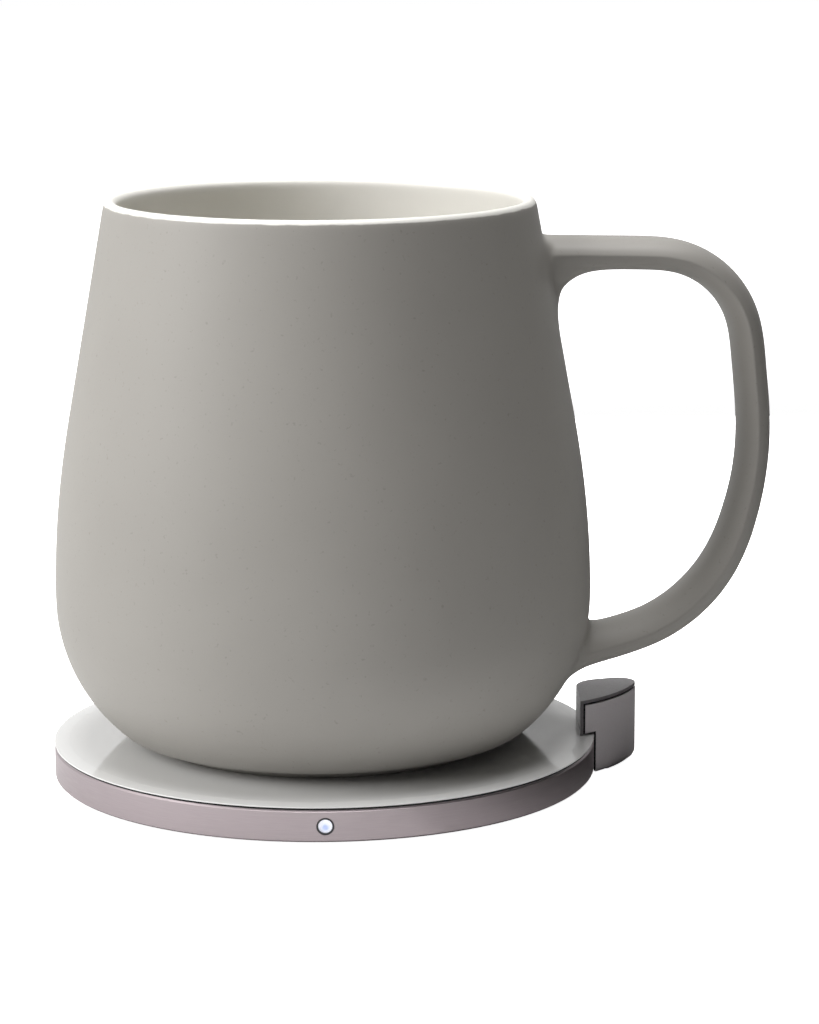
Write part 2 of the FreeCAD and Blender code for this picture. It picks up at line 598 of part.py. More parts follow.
def level_edges(feature, axis, value):
    """Names of a feature's edges that lie at one level along an axis."""
    names = []
    for number, edge in enumerate(feature.Shape.Edges, start=1):
        spread = [getattr(vertex.Point, axis) for vertex in edge.Vertexes]
        box = edge.BoundBox
        low, high = getattr(box, f"{axis.upper()}Min"), getattr(box, f"{axis.upper()}Max")
        if max(abs(place - value) for place in spread + [low, high]) < 1e-4:
            names.append(f"Edge{number}")
    return names


def add_edge_finish(body, kind, feature, edges, size_name):
    finish = body.newObject(f"PartDesign::{kind}", f"{body.Name}_{kind}")
    finish.Base = (feature, edges)
    bind(finish, "Radius" if kind == "Fillet" else "Size", size_name)
    body.Tip = finish
    doc.recompute()
    return finish


def block(name, x_name, y_name, z_name, length, width, height):
    """Box from its lowest corner, along X, Y and Z."""
    box = doc.addObject("Part::Box", name)
    box.Label = name
    for path, size_name in (("Placement.Base.x", x_name), ("Placement.Base.y", y_name),
                            ("Placement.Base.z", z_name), ("Length", length),
                            ("Width", width), ("Height", height)):
        bind(box, path, size_name)
    return box


parts = []

# Foot mat, and the cover above it with the rib that carries the board

parts.append(turned("foot_mat", rectangle("0", "mat_radius", "0", "mat_top")))

bottom_cover = turned("bottom_cover", [
    ("0", "mat_top"), ("mat_pocket", "mat_top"), ("mat_pocket", "base_lift"),
    ("drop_in_radius", "base_lift"), ("drop_in_radius", "cover_top"), ("rib_outside", "cover_top"),
    ("rib_outside", "board_low"), ("rib_inside", "board_low"), ("rib_inside", "cover_top"),
    ("0", "cover_top"),
])
cover_hole_sketch = new_sketch(bottom_cover, "XY_Plane", "base_lift")
draw_circle(cover_hole_sketch, "screw_place", "screw_place", "lug_bore")
cover_hole = add_pocket(bottom_cover, cover_hole_sketch, "cover_thickness", reverse=True)
cover_sink_sketch = new_sketch(bottom_cover, "XY_Plane", "base_lift")
draw_circle(cover_sink_sketch, "screw_place", "screw_place", "head_bore")
cover_sink = add_pocket(bottom_cover, cover_sink_sketch, "screw_head_height", reverse=True)
add_polar(bottom_cover, [cover_hole, cover_sink], "screw_count", None)
parts.append(bottom_cover)

# Cover screws: one screw, repeated round the cover

cover_screws = new_body("cover_screws")
head_sketch = new_sketch(cover_screws, "XY_Plane", "base_lift")
draw_circle(head_sketch, "screw_place", "screw_place", "screw_head")
head_pad = add_pad(cover_screws, head_sketch, "screw_head_height")
shank_sketch = new_sketch(cover_screws, "XY_Plane", "head_top")
draw_circle(shank_sketch, "screw_place", "screw_place", "screw_shank")
shank_pad = add_pad(cover_screws, shank_sketch, "shank_length")
socket_sketch = new_sketch(cover_screws, "XY_Plane", "base_lift")
draw_circle(socket_sketch, "screw_place", "screw_place", "screw_socket")
socket_cut = add_pocket(cover_screws, socket_sketch, "screw_socket_depth", reverse=True)
add_polar(cover_screws, [head_pad, shank_pad, socket_cut], "screw_count", None)
parts.append(cover_screws)

# Side ring: the wall with its two chamfers, the screw bosses, and the holes for light and cable

side_ring = turned("side_ring", [
    ("ring_inside", "ring_low"), ("ring_foot", "ring_low"), ("base_radius", "ring_chamfer_low"),
    ("base_radius", "ring_chamfer_top"), ("ring_foot", "ring_top"), ("ring_inside", "ring_top"),
])
lug_sketch = new_sketch(side_ring, "XY_Plane", "cover_top")
draw_circle(lug_sketch, "screw_place", "screw_place", "lug_radius")
lug = add_pad(side_ring, lug_sketch, "lug_height")
lug_hole_sketch = new_sketch(side_ring, "XY_Plane", "cover_top")
draw_circle(lug_hole_sketch, "screw_place", "screw_place", "lug_bore")
lug_hole = add_pocket(side_ring, lug_hole_sketch, "lug_height", reverse=True)
add_polar(side_ring, [lug, lug_hole], "screw_count", None)
light_hole_sketch = new_sketch(side_ring, "XZ_Plane")
draw_circle(light_hole_sketch, "0", "light_level", "light_bore")
add_pocket(side_ring, light_hole_sketch, reverse=True)
ring_slot_sketch = new_sketch(side_ring, "YZ_Plane")
draw_outline(ring_slot_sketch, rectangle("slot_front", "slot_back", "slot_low", "slot_high"), "slot")
draw_circle(ring_slot_sketch, "-post_screw_front", "post_screw_level", "post_screw_bore", "front")
draw_circle(ring_slot_sketch, "post_screw_back", "post_screw_level", "post_screw_bore", "back")
add_pocket(side_ring, ring_slot_sketch, reverse=True)
parts.append(side_ring)

# Gasket and top plate. The plate has a flat middle and an outer band that slopes down a little.

parts.append(turned("plate_gasket", rectangle("drop_in_radius", "seam_radius", "ring_top", "seam_top")))

parts.append(turned("top_plate", [
    ("0", "plate_under"), ("spigot_radius", "plate_under"), ("spigot_radius", "seam_top"),
    ("base_radius", "seam_top"), ("base_radius", "plate_edge_top"), ("plate_flat", "plate_top"),
    ("0", "plate_top"),
]))

# Electronics under the plate, from the board upwards

parts.append(turned("main_board", rectangle("0", "board_radius", "board_low", "board_top")))

parts.append(turned("coil_tray", [
    ("0", "board_top"), ("tray_radius", "board_top"), ("tray_radius", "coil_top"),
    ("tray_inside", "coil_top"), ("tray_inside", "tray_floor"), ("0", "tray_floor"),
]))

parts.append(turned("ferrite_sheet", rectangle("0", "ferrite_radius", "tray_floor", "coil_low")))
parts.append(turned("transmitter_coil", rectangle("coil_inside", "coil_outside", "coil_low", "coil_top")))
parts.append(turned("coil_pad", rectangle("pad_hole", "tray_radius", "coil_top", "plate_under")))
parts.append(turned("temperature_sensor", rectangle("0", "sensor_radius", "coil_low", "plate_under")))

parts.append(block("control_chip", "-chip_left", "-chip_front", "board_top",
                   "chip_side", "chip_side", "chip_height"))
parts.append(block("power_inductor", "-inductor_left", "inductor_front", "board_top",
                   "inductor_side", "inductor_side", "inductor_height"))

board_capacitors = new_body("board_capacitors")
capacitor_sketch = new_sketch(board_capacitors, "XY_Plane", "board_top")
draw_outline(capacitor_sketch,
             rectangle("capacitor_near", "capacitor_far", "-capacitor_half", "capacitor_half"))
capacitor = add_pad(board_capacitors, capacitor_sketch, "capacitor_height")
add_polar(board_capacitors, [capacitor], "capacitor_count", "capacitor_sweep")
bind(board_capacitors, "Placement.Rotation.Angle", "capacitor_start")
parts.append(board_capacitors)

# Light: a diode on the board's edge, a light pipe whose front is the lens, and a dark ring round it

parts.append(block("indicator_led", "-diode_left", "-diode_front", "board_top",
                   "diode_length", "diode_width", "diode_height"))

indicator_lens = new_body("indicator_lens")
pipe_sketch = new_sketch(indicator_lens, "XZ_Plane", "pipe_back")
draw_circle(pipe_sketch, "0", "light_level", "lens_radius")
add_pad(indicator_lens, pipe_sketch, "pipe_length")
parts.append(indicator_lens)

indicator_bezel = new_body("indicator_bezel")
bezel_sketch = new_sketch(indicator_bezel, "XZ_Plane", "bezel_back")
draw_circle(bezel_sketch, "0", "light_level", "bezel_radius", "outside")
draw_circle(bezel_sketch, "0", "light_level", "bezel_bore", "bore")
add_pad(indicator_bezel, bezel_sketch, "bezel_depth")
parts.append(indicator_bezel)

# Post shell: leaf-shaped in plan, cut to stand round the ring and over the plate's edge

POST_OUTLINE = [
    ("post_face_side", "-post_front", "post_curve", "left"),
    ("post_tip_side", "post_tip_back", "post_tip_radius", "left"),
    ("post_slant_side", "post_slant_back"),
    ("post_corner_side", "post_corner_back", "post_corner", "left"),
    ("post_face_side", "post_face_back"),
]
HOLLOW_OUTLINE = [
    ("hollow_side", "hollow_front"), ("hollow_front_side", "hollow_front", "hollow_curve", "left"),
    ("hollow_tip_side", "post_tip_back"), ("post_slant_side", "hollow_slant_back"),
    ("hollow_side", "hollow_side_back"),
]


def stadium(left, right, middle, low, high, turn_low, turn_high, turn):
    """Upright slot outline with round ends."""
    return [
        (right, turn_low), (right, turn_high, turn, "left"), (middle, high, turn, "left"),
        (left, turn_high), (left, turn_low, turn, "left"), (middle, low, turn, "left"),
    ]


post_shell = new_body("post_shell")
post_sketch = new_sketch(post_shell, "XY_Plane", "post_lift")
draw_outline(post_sketch, POST_OUTLINE)
post_pad = add_pad(post_shell, post_sketch, "post_height")
top_edges = level_edges(post_pad, "z", size("post_top"))
post_top_finish = add_edge_finish(post_shell, "Chamfer", post_pad, top_edges, "post_top_chamfer")
foot_edges = level_edges(post_top_finish, "z", size("post_lift"))
add_edge_finish(post_shell, "Fillet", post_top_finish, foot_edges, "post_foot_round")
add_revolution(post_shell, rectangle("0", "post_ring_side", "-post_lift", "post_over_plate"), "Groove")
hollow_sketch = new_sketch(post_shell, "XY_Plane", "post_lift")
draw_outline(hollow_sketch, HOLLOW_OUTLINE)
add_pocket(post_shell, hollow_sketch, "hollow_height", reverse=True)
window_sketch = new_sketch(post_shell, "XY_Plane", "post_floor")
draw_outline(window_sketch, rectangle("window_side", "hollow_side", "window_front", "window_back"))
add_pocket(post_shell, window_sketch, "window_height", reverse=True)
mouth_sketch = new_sketch(post_shell, "XZ_Plane", "-mouth_start")
draw_outline(mouth_sketch, stadium("mouth_left", "mouth_right", "inlet_middle", "mouth_low", "mouth_high",
                                   "inlet_turn_low", "inlet_turn_high", "mouth_turn"))
add_pocket(post_shell, mouth_sketch, "mouth_depth", reverse=True)
panel_hole_sketch = new_sketch(post_shell, "YZ_Plane", "post_face_side")
draw_outline(panel_hole_sketch, rectangle("-panel_hole_front", "panel_hole_back",
                                          "panel_hole_low", "panel_hole_high"))
add_pocket(post_shell, panel_hole_sketch, "panel_depth", reverse=True)
post_bore_sketch = new_sketch(post_shell, "YZ_Plane", "window_side")
draw_circle(post_bore_sketch, "-post_screw_front", "post_screw_level", "post_screw_bore", "front")
draw_circle(post_bore_sketch, "post_screw_back", "post_screw_level", "post_screw_bore", "back")
add_pocket(post_shell, post_bore_sketch, "post_bore_depth", reverse=True)
parts.append(post_shell)

# Post: base plate, inset panel and screws

post_base = new_body("post_base")
post_base_sketch = new_sketch(post_base, "XY_Plane", "post_lift")
draw_outline(post_base_sketch, HOLLOW_OUTLINE)
add_pad(post_base, post_base_sketch, "post_base_height")
parts.append(post_base)

post_face = new_body("post_face")
panel_sketch = new_sketch(post_face, "YZ_Plane", "post_face_side")
draw_outline(panel_sketch, rectangle("-panel_front", "panel_back", "panel_low", "panel_high"))
panel = add_pad(post_face, panel_sketch, "panel_depth")
panel_edges = level_edges(panel, "x", size("post_face_side"))
add_edge_finish(post_face, "Chamfer", panel, panel_edges, "panel_chamfer")
parts.append(post_face)

post_screws = new_body("post_screws")
screw_sketch = new_sketch(post_screws, "XY_Plane", "post_screw_level")
draw_outline(screw_sketch, [
    ("post_screw_start", "-post_screw_front"), ("post_screw_end", "-post_screw_front"),
    ("post_screw_end", "post_screw_shank_side"), ("post_screw_seat", "post_screw_shank_side"),
    ("post_screw_seat", "post_screw_head_side"), ("post_screw_start", "post_screw_head_side"),
])
sketch_axis(screw_sketch, "post_screw_start", "post_screw_end", "-post_screw_front")
post_screw = add_feature(post_screws, "Revolution", screw_sketch)
post_screw.ReferenceAxis = (screw_sketch, ["Axis0"])
post_screw.Angle = 360
post_screw_row = post_screws.newObject("PartDesign::LinearPattern", "post_screw_row")
post_screw_row.Originals = [post_screw]
post_screw_row.Direction = (screw_sketch, ["V_Axis"])
post_screw_row.Occurrences = 2
bind(post_screw_row, "Length", "post_screw_pitch")
post_screws.Tip = post_screw_row
parts.append(post_screws)

# Inlet: shell, contact tongue, its upright board, and the flat cable to the main board

inlet_shell = new_body("inlet_shell")
shell_sketch = new_sketch(inlet_shell, "XZ_Plane", "-inlet_mouth")
draw_outline(shell_sketch, stadium("inlet_left", "inlet_right", "inlet_middle", "inlet_low", "inlet_high",
                                   "inlet_turn_low", "inlet_turn_high", "inlet_turn"))
add_pad(inlet_shell, shell_sketch, "inlet_length")
bore_sketch = new_sketch(inlet_shell, "XZ_Plane", "-inlet_mouth")
draw_outline(bore_sketch, stadium("bore_left", "bore_right", "inlet_middle", "bore_low", "bore_high",
                                  "inlet_turn_low", "inlet_turn_high", "bore_turn"))
add_pocket(inlet_shell, bore_sketch, "bore_depth", reverse=True)
parts.append(inlet_shell)

parts.append(block("inlet_tongue", "tongue_left", "tongue_front", "tongue_low",
                   "tongue_thickness", "tongue_length", "tongue_height"))
parts.append(block("inlet_board", "inlet_board_side", "inlet_board_front", "post_floor",
                   "inlet_board_thickness", "inlet_board_length", "inlet_board_height"))
parts.append(block("link_ribbon", "ribbon_start", "ribbon_front", "board_top",
                   "ribbon_length", "ribbon_width", "ribbon_thickness"))

# Mug shell: foot, belly, leaning wall, round rim, and the hollow with its curved floor

OUTER_CORNERS = [
    ("belly_low_radius", "belly_low", "belly_curve", "left"),
    ("mug_radius", "belly_height", "side_curve", "left"), ("side_low_radius", "side_low"),
]
mug_shell = turned("mug_shell", [
    ("0", "heater_depth"), ("heater_radius", "heater_depth"), ("heater_radius", "0"),
    ("foot_radius", "0"), ("foot_top_radius", "foot_height"), *OUTER_CORNERS,
    ("lip_radius", "lip_low", "lip_round", "left"), ("lip_middle", "mug_height", "lip_round", "left"),
    ("lip_inside", "lip_low"), ("inner_side_radius", "side_low", "inner_curve", "right"),
    ("inner_radius", "inner_belly", "floor_curve", "right"), ("floor_radius", "floor_top"),
    ("0", "floor_top"),
])

# Mug handle: an oval section swept along its loop, then cut back to the mug's outside

mug_handle = new_body("mug_handle")
loop_sketch = new_sketch(mug_handle, "XZ_Plane")
draw_rounded_path(loop_sketch, [
    ("handle_root", "handle_high"),
    ("handle_top_out", "handle_top_height", "handle_top_curve"),
    ("handle_side_out", "handle_side_height", "handle_side_curve"),
    ("handle_low_out", "handle_low_height", "handle_low_curve"),
    ("handle_root", "handle_end"),
])
section_sketch = new_sketch(mug_handle, "YZ_Plane", "handle_root")
draw_outline(section_sketch, [
    ("-oval_side", "oval_low", "oval_flank", "left"), ("oval_side", "oval_low", "handle_end_round", "left"),
    ("oval_side", "oval_high", "oval_flank", "left"), ("-oval_side", "oval_high", "handle_end_round", "left"),
])
loop = add_feature(mug_handle, "AdditivePipe", section_sketch)
loop.Spine = (loop_sketch, [])
doc.recompute()
add_revolution(mug_handle, [
    ("0", "belly_low"), *OUTER_CORNERS, ("lip_radius", "lip_low"), ("0", "lip_low"),
], "Groove")
bind(mug_handle, "Placement.Rotation.Angle", "handle_turn")

# Heater in the mug's foot, from the sealing disc upwards

mug_parts = [
    mug_shell,
    mug_handle,
    turned("mug_base_seal", rectangle("0", "seal_radius", "seal_lift", "seal_top")),
    turned("mug_ferrite", rectangle("0", "mug_part_radius", "seal_top", "mug_ferrite_top")),
    turned("receiver_coil", rectangle("mug_coil_inside", "mug_part_radius",
                                      "mug_ferrite_top", "mug_coil_top")),
    turned("heating_film", rectangle("0", "mug_part_radius", "mug_coil_top", "heater_depth")),
]
for mug_part in mug_parts:
    bind(mug_part, "Placement.Base.z", "plate_top")
parts.extend(mug_parts)

doc.recompute()

# Check every object, then write one file per piece

for item in doc.Objects:
    if "Invalid" in item.State or "Error" in item.State:
        raise RuntimeError(f"{item.Name} failed: {item.State}")
os.makedirs("parts", exist_ok=True)
for part in parts:
    if part.Shape.isNull() or not part.Shape.isValid() or not part.Shape.Solids:
        raise RuntimeError(f"{part.Label} has no valid solid")
for part in parts:
    part.Shape.exportStep(os.path.join("parts", f"{part.Label}.step"))
print(len(parts), "pieces written")
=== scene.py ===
# %% [markdown]
# A mug warmer is a thin powered disc with a small post at its edge, and a glazed mug that stands on it.
# The imported model is loaded first and stays as it is: every new piece is fitted to its places and
# sizes.

# %% Load the frame
import bmesh
import bpy
import json
import math
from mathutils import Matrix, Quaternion, Vector


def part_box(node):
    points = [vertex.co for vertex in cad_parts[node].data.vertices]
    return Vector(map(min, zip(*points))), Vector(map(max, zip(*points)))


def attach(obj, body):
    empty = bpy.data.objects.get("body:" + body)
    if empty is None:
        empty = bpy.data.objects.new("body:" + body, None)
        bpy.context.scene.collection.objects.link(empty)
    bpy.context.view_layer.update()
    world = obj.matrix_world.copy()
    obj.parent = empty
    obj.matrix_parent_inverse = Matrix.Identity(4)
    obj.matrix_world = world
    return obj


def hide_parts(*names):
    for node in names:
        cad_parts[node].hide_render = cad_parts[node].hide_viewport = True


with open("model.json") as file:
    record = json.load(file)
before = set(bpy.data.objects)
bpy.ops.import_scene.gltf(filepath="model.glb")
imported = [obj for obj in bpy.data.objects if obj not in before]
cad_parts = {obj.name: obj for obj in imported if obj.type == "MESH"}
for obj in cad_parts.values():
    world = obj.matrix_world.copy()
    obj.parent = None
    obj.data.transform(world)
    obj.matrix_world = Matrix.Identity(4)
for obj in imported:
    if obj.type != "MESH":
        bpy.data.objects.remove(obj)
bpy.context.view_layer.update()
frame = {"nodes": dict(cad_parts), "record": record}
MM = 0.001

# %% [markdown]
# The camera comes before the pieces, because it decides what has to be fine and what can be plain.
# A long lens from half a metre away flattens the mug a little, so distance and focal length belong
# together. It looks down by about 11 degrees and leans by a fifth of a degree. Aim and place are in
# millimetres from the foot mat's middle.

# %% Camera
CAMERA_PLACE = Vector((0.8, -538.6, 150.5)) * MM
CAMERA_AIM = Vector((14.3, -0.4, 44.7)) * MM
CAMERA_LEAN = math.radians(-0.216)
FOCAL_LENGTH = 116.7
SENSOR_WIDTH = 36
NEAREST_SEEN, FARTHEST_SEEN = 0.05, 20

camera_data = bpy.data.cameras.new("photo_camera")
camera_data.lens = FOCAL_LENGTH
camera_data.sensor_width = SENSOR_WIDTH
camera_data.clip_start = NEAREST_SEEN
camera_data.clip_end = FARTHEST_SEEN
camera = bpy.data.objects.new("photo_camera", camera_data)
bpy.context.scene.collection.objects.link(camera)
camera.location = CAMERA_PLACE
camera.rotation_mode = "QUATERNION"
looking = (CAMERA_AIM - CAMERA_PLACE).to_track_quat("-Z", "Y")
camera.rotation_quaternion = looking @ Quaternion((0, 0, 1), CAMERA_LEAN)
bpy.context.scene.camera = camera
bpy.context.scene.view_settings.view_transform = "Standard"
print("camera distance", round((CAMERA_AIM - CAMERA_PLACE).length, 3), "m")

# %% [markdown]
# Every material here starts from the Principled shader, which describes most real surfaces with a
# colour, a roughness and a share of metal. Two helpers make the material and add a node to it.
# Colours are written as 0 to 255 values and turned into linear light once, in one place.

# %% Helpers for a new material
def colour(red, green, blue):
    """Colour of the screen, 0 to 255, as linear light."""
    values = [channel / 255 for channel in (red, green, blue)]
    linear = [v / 12.92 if v <= 0.04045 else ((v + 0.055) / 1.055) ** 2.4 for v in values]
    return (*linear, 1.0)


def new_material(name, roughness=0.5, metallic=0.0, base=(0.5, 0.5, 0.5, 1.0)):
    """A material with one Principled shader: the material, its node tree and the shader."""
    material = bpy.data.materials.new(name)
    material.use_nodes = True
    shader = material.node_tree.nodes["Principled BSDF"]
    shader.inputs["Base Color"].default_value = base
    shader.inputs["Roughness"].default_value = roughness
    shader.inputs["Metallic"].default_value = metallic
    return material, material.node_tree, shader


def add_node(tree, kind, **settings):
    node = tree.nodes.new(kind)
    for key, value in settings.items():
        setattr(node, key, value)
    return node


print("middle grey as linear light:", [round(v, 3) for v in colour(128, 128, 128)])

# %% [markdown]
# Real surfaces are never quite even, so every finish varies its colour, its roughness and its bump a
# little. Noise gives the variation, read at Object coordinates. These are in metres, so a noise scale
# of 1000 gives grains of about a millimetre. A bump only bends the light at a surface, which is enough
# for grain finer than a tenth of a millimetre. Everything larger is modelled.

# %% Helpers for noise, colours and bumps
def object_place(tree, scale=(1, 1, 1)):
    """Object coordinates, scaled along each axis."""
    source = add_node(tree, "ShaderNodeTexCoord")
    mapping = add_node(tree, "ShaderNodeMapping")
    mapping.inputs["Scale"].default_value = scale
    tree.links.new(source.outputs["Object"], mapping.inputs["Vector"])
    return mapping.outputs["Vector"]


def coordinate(tree, axis):
    """Object coordinate along one axis, in metres."""
    parts = add_node(tree, "ShaderNodeSeparateXYZ")
    tree.links.new(object_place(tree), parts.inputs[0])
    return parts.outputs[axis]


def noise(tree, scale, detail=3.0, roughness=0.5, stretched=(1, 1, 1)):
    texture = add_node(tree, "ShaderNodeTexNoise")
    texture.inputs["Scale"].default_value = scale
    texture.inputs["Detail"].default_value = detail
    texture.inputs["Roughness"].default_value = roughness
    tree.links.new(object_place(tree, stretched), texture.inputs["Vector"])
    return texture.outputs["Fac"]


def stretch(tree, value, low, high, out_low=0.0, out_high=1.0):
    """Map a value from one range to another."""
    ranger = add_node(tree, "ShaderNodeMapRange")
    for socket, number in zip(("From Min", "From Max", "To Min", "To Max"),
                              (low, high, out_low, out_high)):
        ranger.inputs[socket].default_value = number
    tree.links.new(value, ranger.inputs["Value"])
    return ranger.outputs["Result"]


def blend_colours(tree, factor, first, second):
    """Mix two colours or colour outputs by a factor."""
    mixer = add_node(tree, "ShaderNodeMix", data_type="RGBA")
    tree.links.new(factor, mixer.inputs["Factor"])
    for socket, value in ((mixer.inputs[6], first), (mixer.inputs[7], second)):
        if isinstance(value, tuple):
            socket.default_value = value
        else:
            tree.links.new(value, socket)
    return mixer.outputs[2]


def tint(tree, shader, factor, first, second):
    """Base colour between two colours."""
    tree.links.new(blend_colours(tree, factor, first, second), shader.inputs["Base Color"])


def roughen(tree, shader, grain, smooth, rough):
    """Roughness that follows a noise. Most of a noise lies between 0.3 and 0.7."""
    tree.links.new(stretch(tree, grain, 0.3, 0.7, smooth, rough), shader.inputs["Roughness"])


def calculate(tree, operation, *values):
    maths = add_node(tree, "ShaderNodeMath", operation=operation)
    for socket, value in zip(maths.inputs, values):
        if isinstance(value, (int, float)):
            socket.default_value = value
        else:
            tree.links.new(value, socket)
    return maths.outputs["Value"]


def add_bump(tree, shader, height, strength, distance, first=None):
    """Bump from a height. A bump that is given as first stays under it."""
    bump = add_node(tree, "ShaderNodeBump")
    bump.inputs["Strength"].default_value = strength
    bump.inputs["Distance"].default_value = distance
    tree.links.new(height, bump.inputs["Height"])
    if first is not None:
        tree.links.new(first, bump.inputs["Normal"])
    tree.links.new(bump.outputs["Normal"], shader.inputs["Normal"])
    return bump.outputs["Normal"]


print("material helpers are ready")

# %% [markdown]
# The studio starts with a pale floor. It lights the object from below, as a white table does. For the
# camera's own rays it glows, so that it is as white as the background, and no edge of it shows.

# %% Floor
def object_from(bm, name):
    """Object in the scene with the shape of a bmesh."""
    mesh = bpy.data.meshes.new(name)
    bm.to_mesh(mesh)
    thing = bpy.data.objects.new(name, mesh)
    bpy.context.scene.collection.objects.link(thing)
    return thing


def floor_material():
    material, tree, shader = new_material("floor_white", roughness=0.9, base=(0.9, 0.9, 0.9, 1))
    shader.inputs["Specular IOR Level"].default_value = 0.0
    add_bump(tree, shader, noise(tree, 400.0), 0.02, 0.0002)
    path = add_node(tree, "ShaderNodeLightPath")
    shader.inputs["Emission Color"].default_value = (1, 1, 1, 1)
    tree.links.new(path.outputs["Is Camera Ray"], shader.inputs["Emission Strength"])
    return material


FLOOR_HALF = 3.0
floor_bm = bmesh.new()
bmesh.ops.create_grid(floor_bm, x_segments=2, y_segments=2, size=FLOOR_HALF)
floor = object_from(floor_bm, "floor")
floor_bm.free()
floor.data.materials.append(floor_material())
print("floor", 2 * FLOOR_HALF, "m wide")

# %% [markdown]
# Photographers set black cards beside shiny things, to give them dark edges. Three stand on the right,
# unseen by the camera. Without them the white floor fills every shadow, and the mug's right side and
# the metal ring look flat. Each card has one grey for soft light and another for reflections, which
# fades in away from the object, so that no hard line shows in the ring.

# %% Dark cards on the right
CARDS = {"side_card": ((0.19, -0.21, 0.31), (0.0001, 0.33, 0.29), 0.012, 0.02),
         "back_card": ((0.34, 0.36, 0.14), (0.31, 0.0001, 0.14), 0.3, 0.6),
         "floor_card": ((0.27, 0.0, 0.0004), (0.25, 0.45, 0.0001), 0.85, 0.04)}
FADE_START, FADE_END = 0.03, 0.056
NEAR_GREY = 0.72


def plain_grey(value):
    return (value, value, value, 1)


def card_material(name, soft_grey, mirror_grey):
    """One grey for soft light, and one for reflections that fades in from the object outwards."""
    material, tree, shader = new_material(name, roughness=1.0)
    shader.inputs["Specular IOR Level"].default_value = 0.0
    fade = stretch(tree, coordinate(tree, "X"), FADE_START, FADE_END)
    graded = blend_colours(tree, fade, plain_grey(NEAR_GREY), plain_grey(mirror_grey))
    reflected = add_node(tree, "ShaderNodeLightPath").outputs["Is Glossy Ray"]
    tint(tree, shader, reflected, plain_grey(soft_grey), graded)
    return material


for name, (place, half, soft_grey, mirror_grey) in CARDS.items():
    card_bm = bmesh.new()
    bmesh.ops.create_cube(card_bm, size=2.0)
    bmesh.ops.scale(card_bm, vec=half, verts=card_bm.verts)
    bmesh.ops.translate(card_bm, vec=place, verts=card_bm.verts)
    card = object_from(card_bm, name)
    card_bm.free()
    card.data.materials.append(card_material(name, soft_grey, mirror_grey))
    card.visible_camera = False
    card.visible_shadow = name != "floor_card"
print("cards:", list(CARDS))

# %% [markdown]
# Two soft lamps light the object: a large one on the left, and one above. The world is dim for soft
# light and white for rays from the camera and for reflections, so the background is white and the
# shadows keep their depth.

# %% Lamps
OBJECT_MIDDLE = Vector((0, 0, 0.05))


def area_lamp(name, place, size, power, lamp_colour=(1, 1, 1)):
    """A round lamp that looks at the middle of the object."""
    data = bpy.data.lights.new(name, "AREA")
    data.shape = "DISK"
    data.size = size
    data.energy = power
    data.color = lamp_colour
    lamp = bpy.data.objects.new(name, data)
    bpy.context.scene.collection.objects.link(lamp)
    lamp.location = place
    lamp.rotation_mode = "QUATERNION"
    lamp.rotation_quaternion = (OBJECT_MIDDLE - Vector(place)).to_track_quat("-Z", "Y")


area_lamp("left_softbox", (-0.80, -0.26, 0.50), 0.7, 8.4, (1.0, 0.995, 0.985))
area_lamp("top_softbox", (0.0, 0.02, 0.95), 0.6, 8.6)
print("two lamps look at", tuple(OBJECT_MIDDLE))

# %% World
SOFT_LIGHT = 0.11
world = bpy.data.worlds.new("studio")
bpy.context.scene.world = world
world.use_nodes = True
world_tree = world.node_tree
world_tree.nodes.clear()
path = add_node(world_tree, "ShaderNodeLightPath")
seen = calculate(world_tree, "MAXIMUM", path.outputs["Is Camera Ray"], path.outputs["Is Glossy Ray"])
seen = calculate(world_tree, "MAXIMUM", seen, path.outputs["Is Transmission Ray"])
dim = add_node(world_tree, "ShaderNodeBackground")
dim.inputs["Strength"].default_value = SOFT_LIGHT
white = add_node(world_tree, "ShaderNodeBackground")
white.inputs["Strength"].default_value = 1.0
for background in (dim, white):
    background.inputs["Color"].default_value = (1, 1, 1, 1)
chooser = add_node(world_tree, "ShaderNodeMixShader")
world_out = add_node(world_tree, "ShaderNodeOutputWorld")
world_tree.links.new(seen, chooser.inputs["Fac"])
world_tree.links.new(dim.outputs[0], chooser.inputs[1])
world_tree.links.new(white.outputs[0], chooser.inputs[2])
world_tree.links.new(chooser.outputs[0], world_out.inputs["Surface"])
print("white world, soft light", SOFT_LIGHT)

# %% [markdown]
# The mug is one piece of glazed stoneware. The potter casts the bowl and the handle apart and joins
# them with slip before firing, so the handle grows out of the wall with a soft, hollow fillet. A
# subdivision surface makes such fillets by itself, if the handle's skin is joined to the bowl's skin
# face to face. So the bowl is spun from a profile, two openings of four by four faces are left in
# its wall, a ring of sixteen points is drawn along the handle's loop, and both ends are bridged.
# All sizes are in millimetres, and heights are above the plate that the mug stands on.

# %% Sizes of the bowl
PLATE_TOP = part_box("top_plate")[1].z / MM
MUG_RADIUS = 44.33
MUG_HEIGHT = 89.5
BELLY_HEIGHT = 24.1
BELLY_CURVE = 28.46
SIDE_CURVE = 157.0
SIDE_LEAN = math.radians(10.3)
WALL = 3.1
LIP_ROUND = 1.15
FLOOR_TOP = 7.2
FLOOR_CURVE = 17.2
HEATER_RADIUS = 26.3
HEATER_DEPTH = 3.2
HANDLE_TURN = math.radians(2)
SEGMENTS = 64
side_low = BELLY_HEIGHT + SIDE_CURVE * math.sin(SIDE_LEAN)
side_low_radius = MUG_RADIUS - SIDE_CURVE * (1 - math.cos(SIDE_LEAN))
lip_low = MUG_HEIGHT - LIP_ROUND


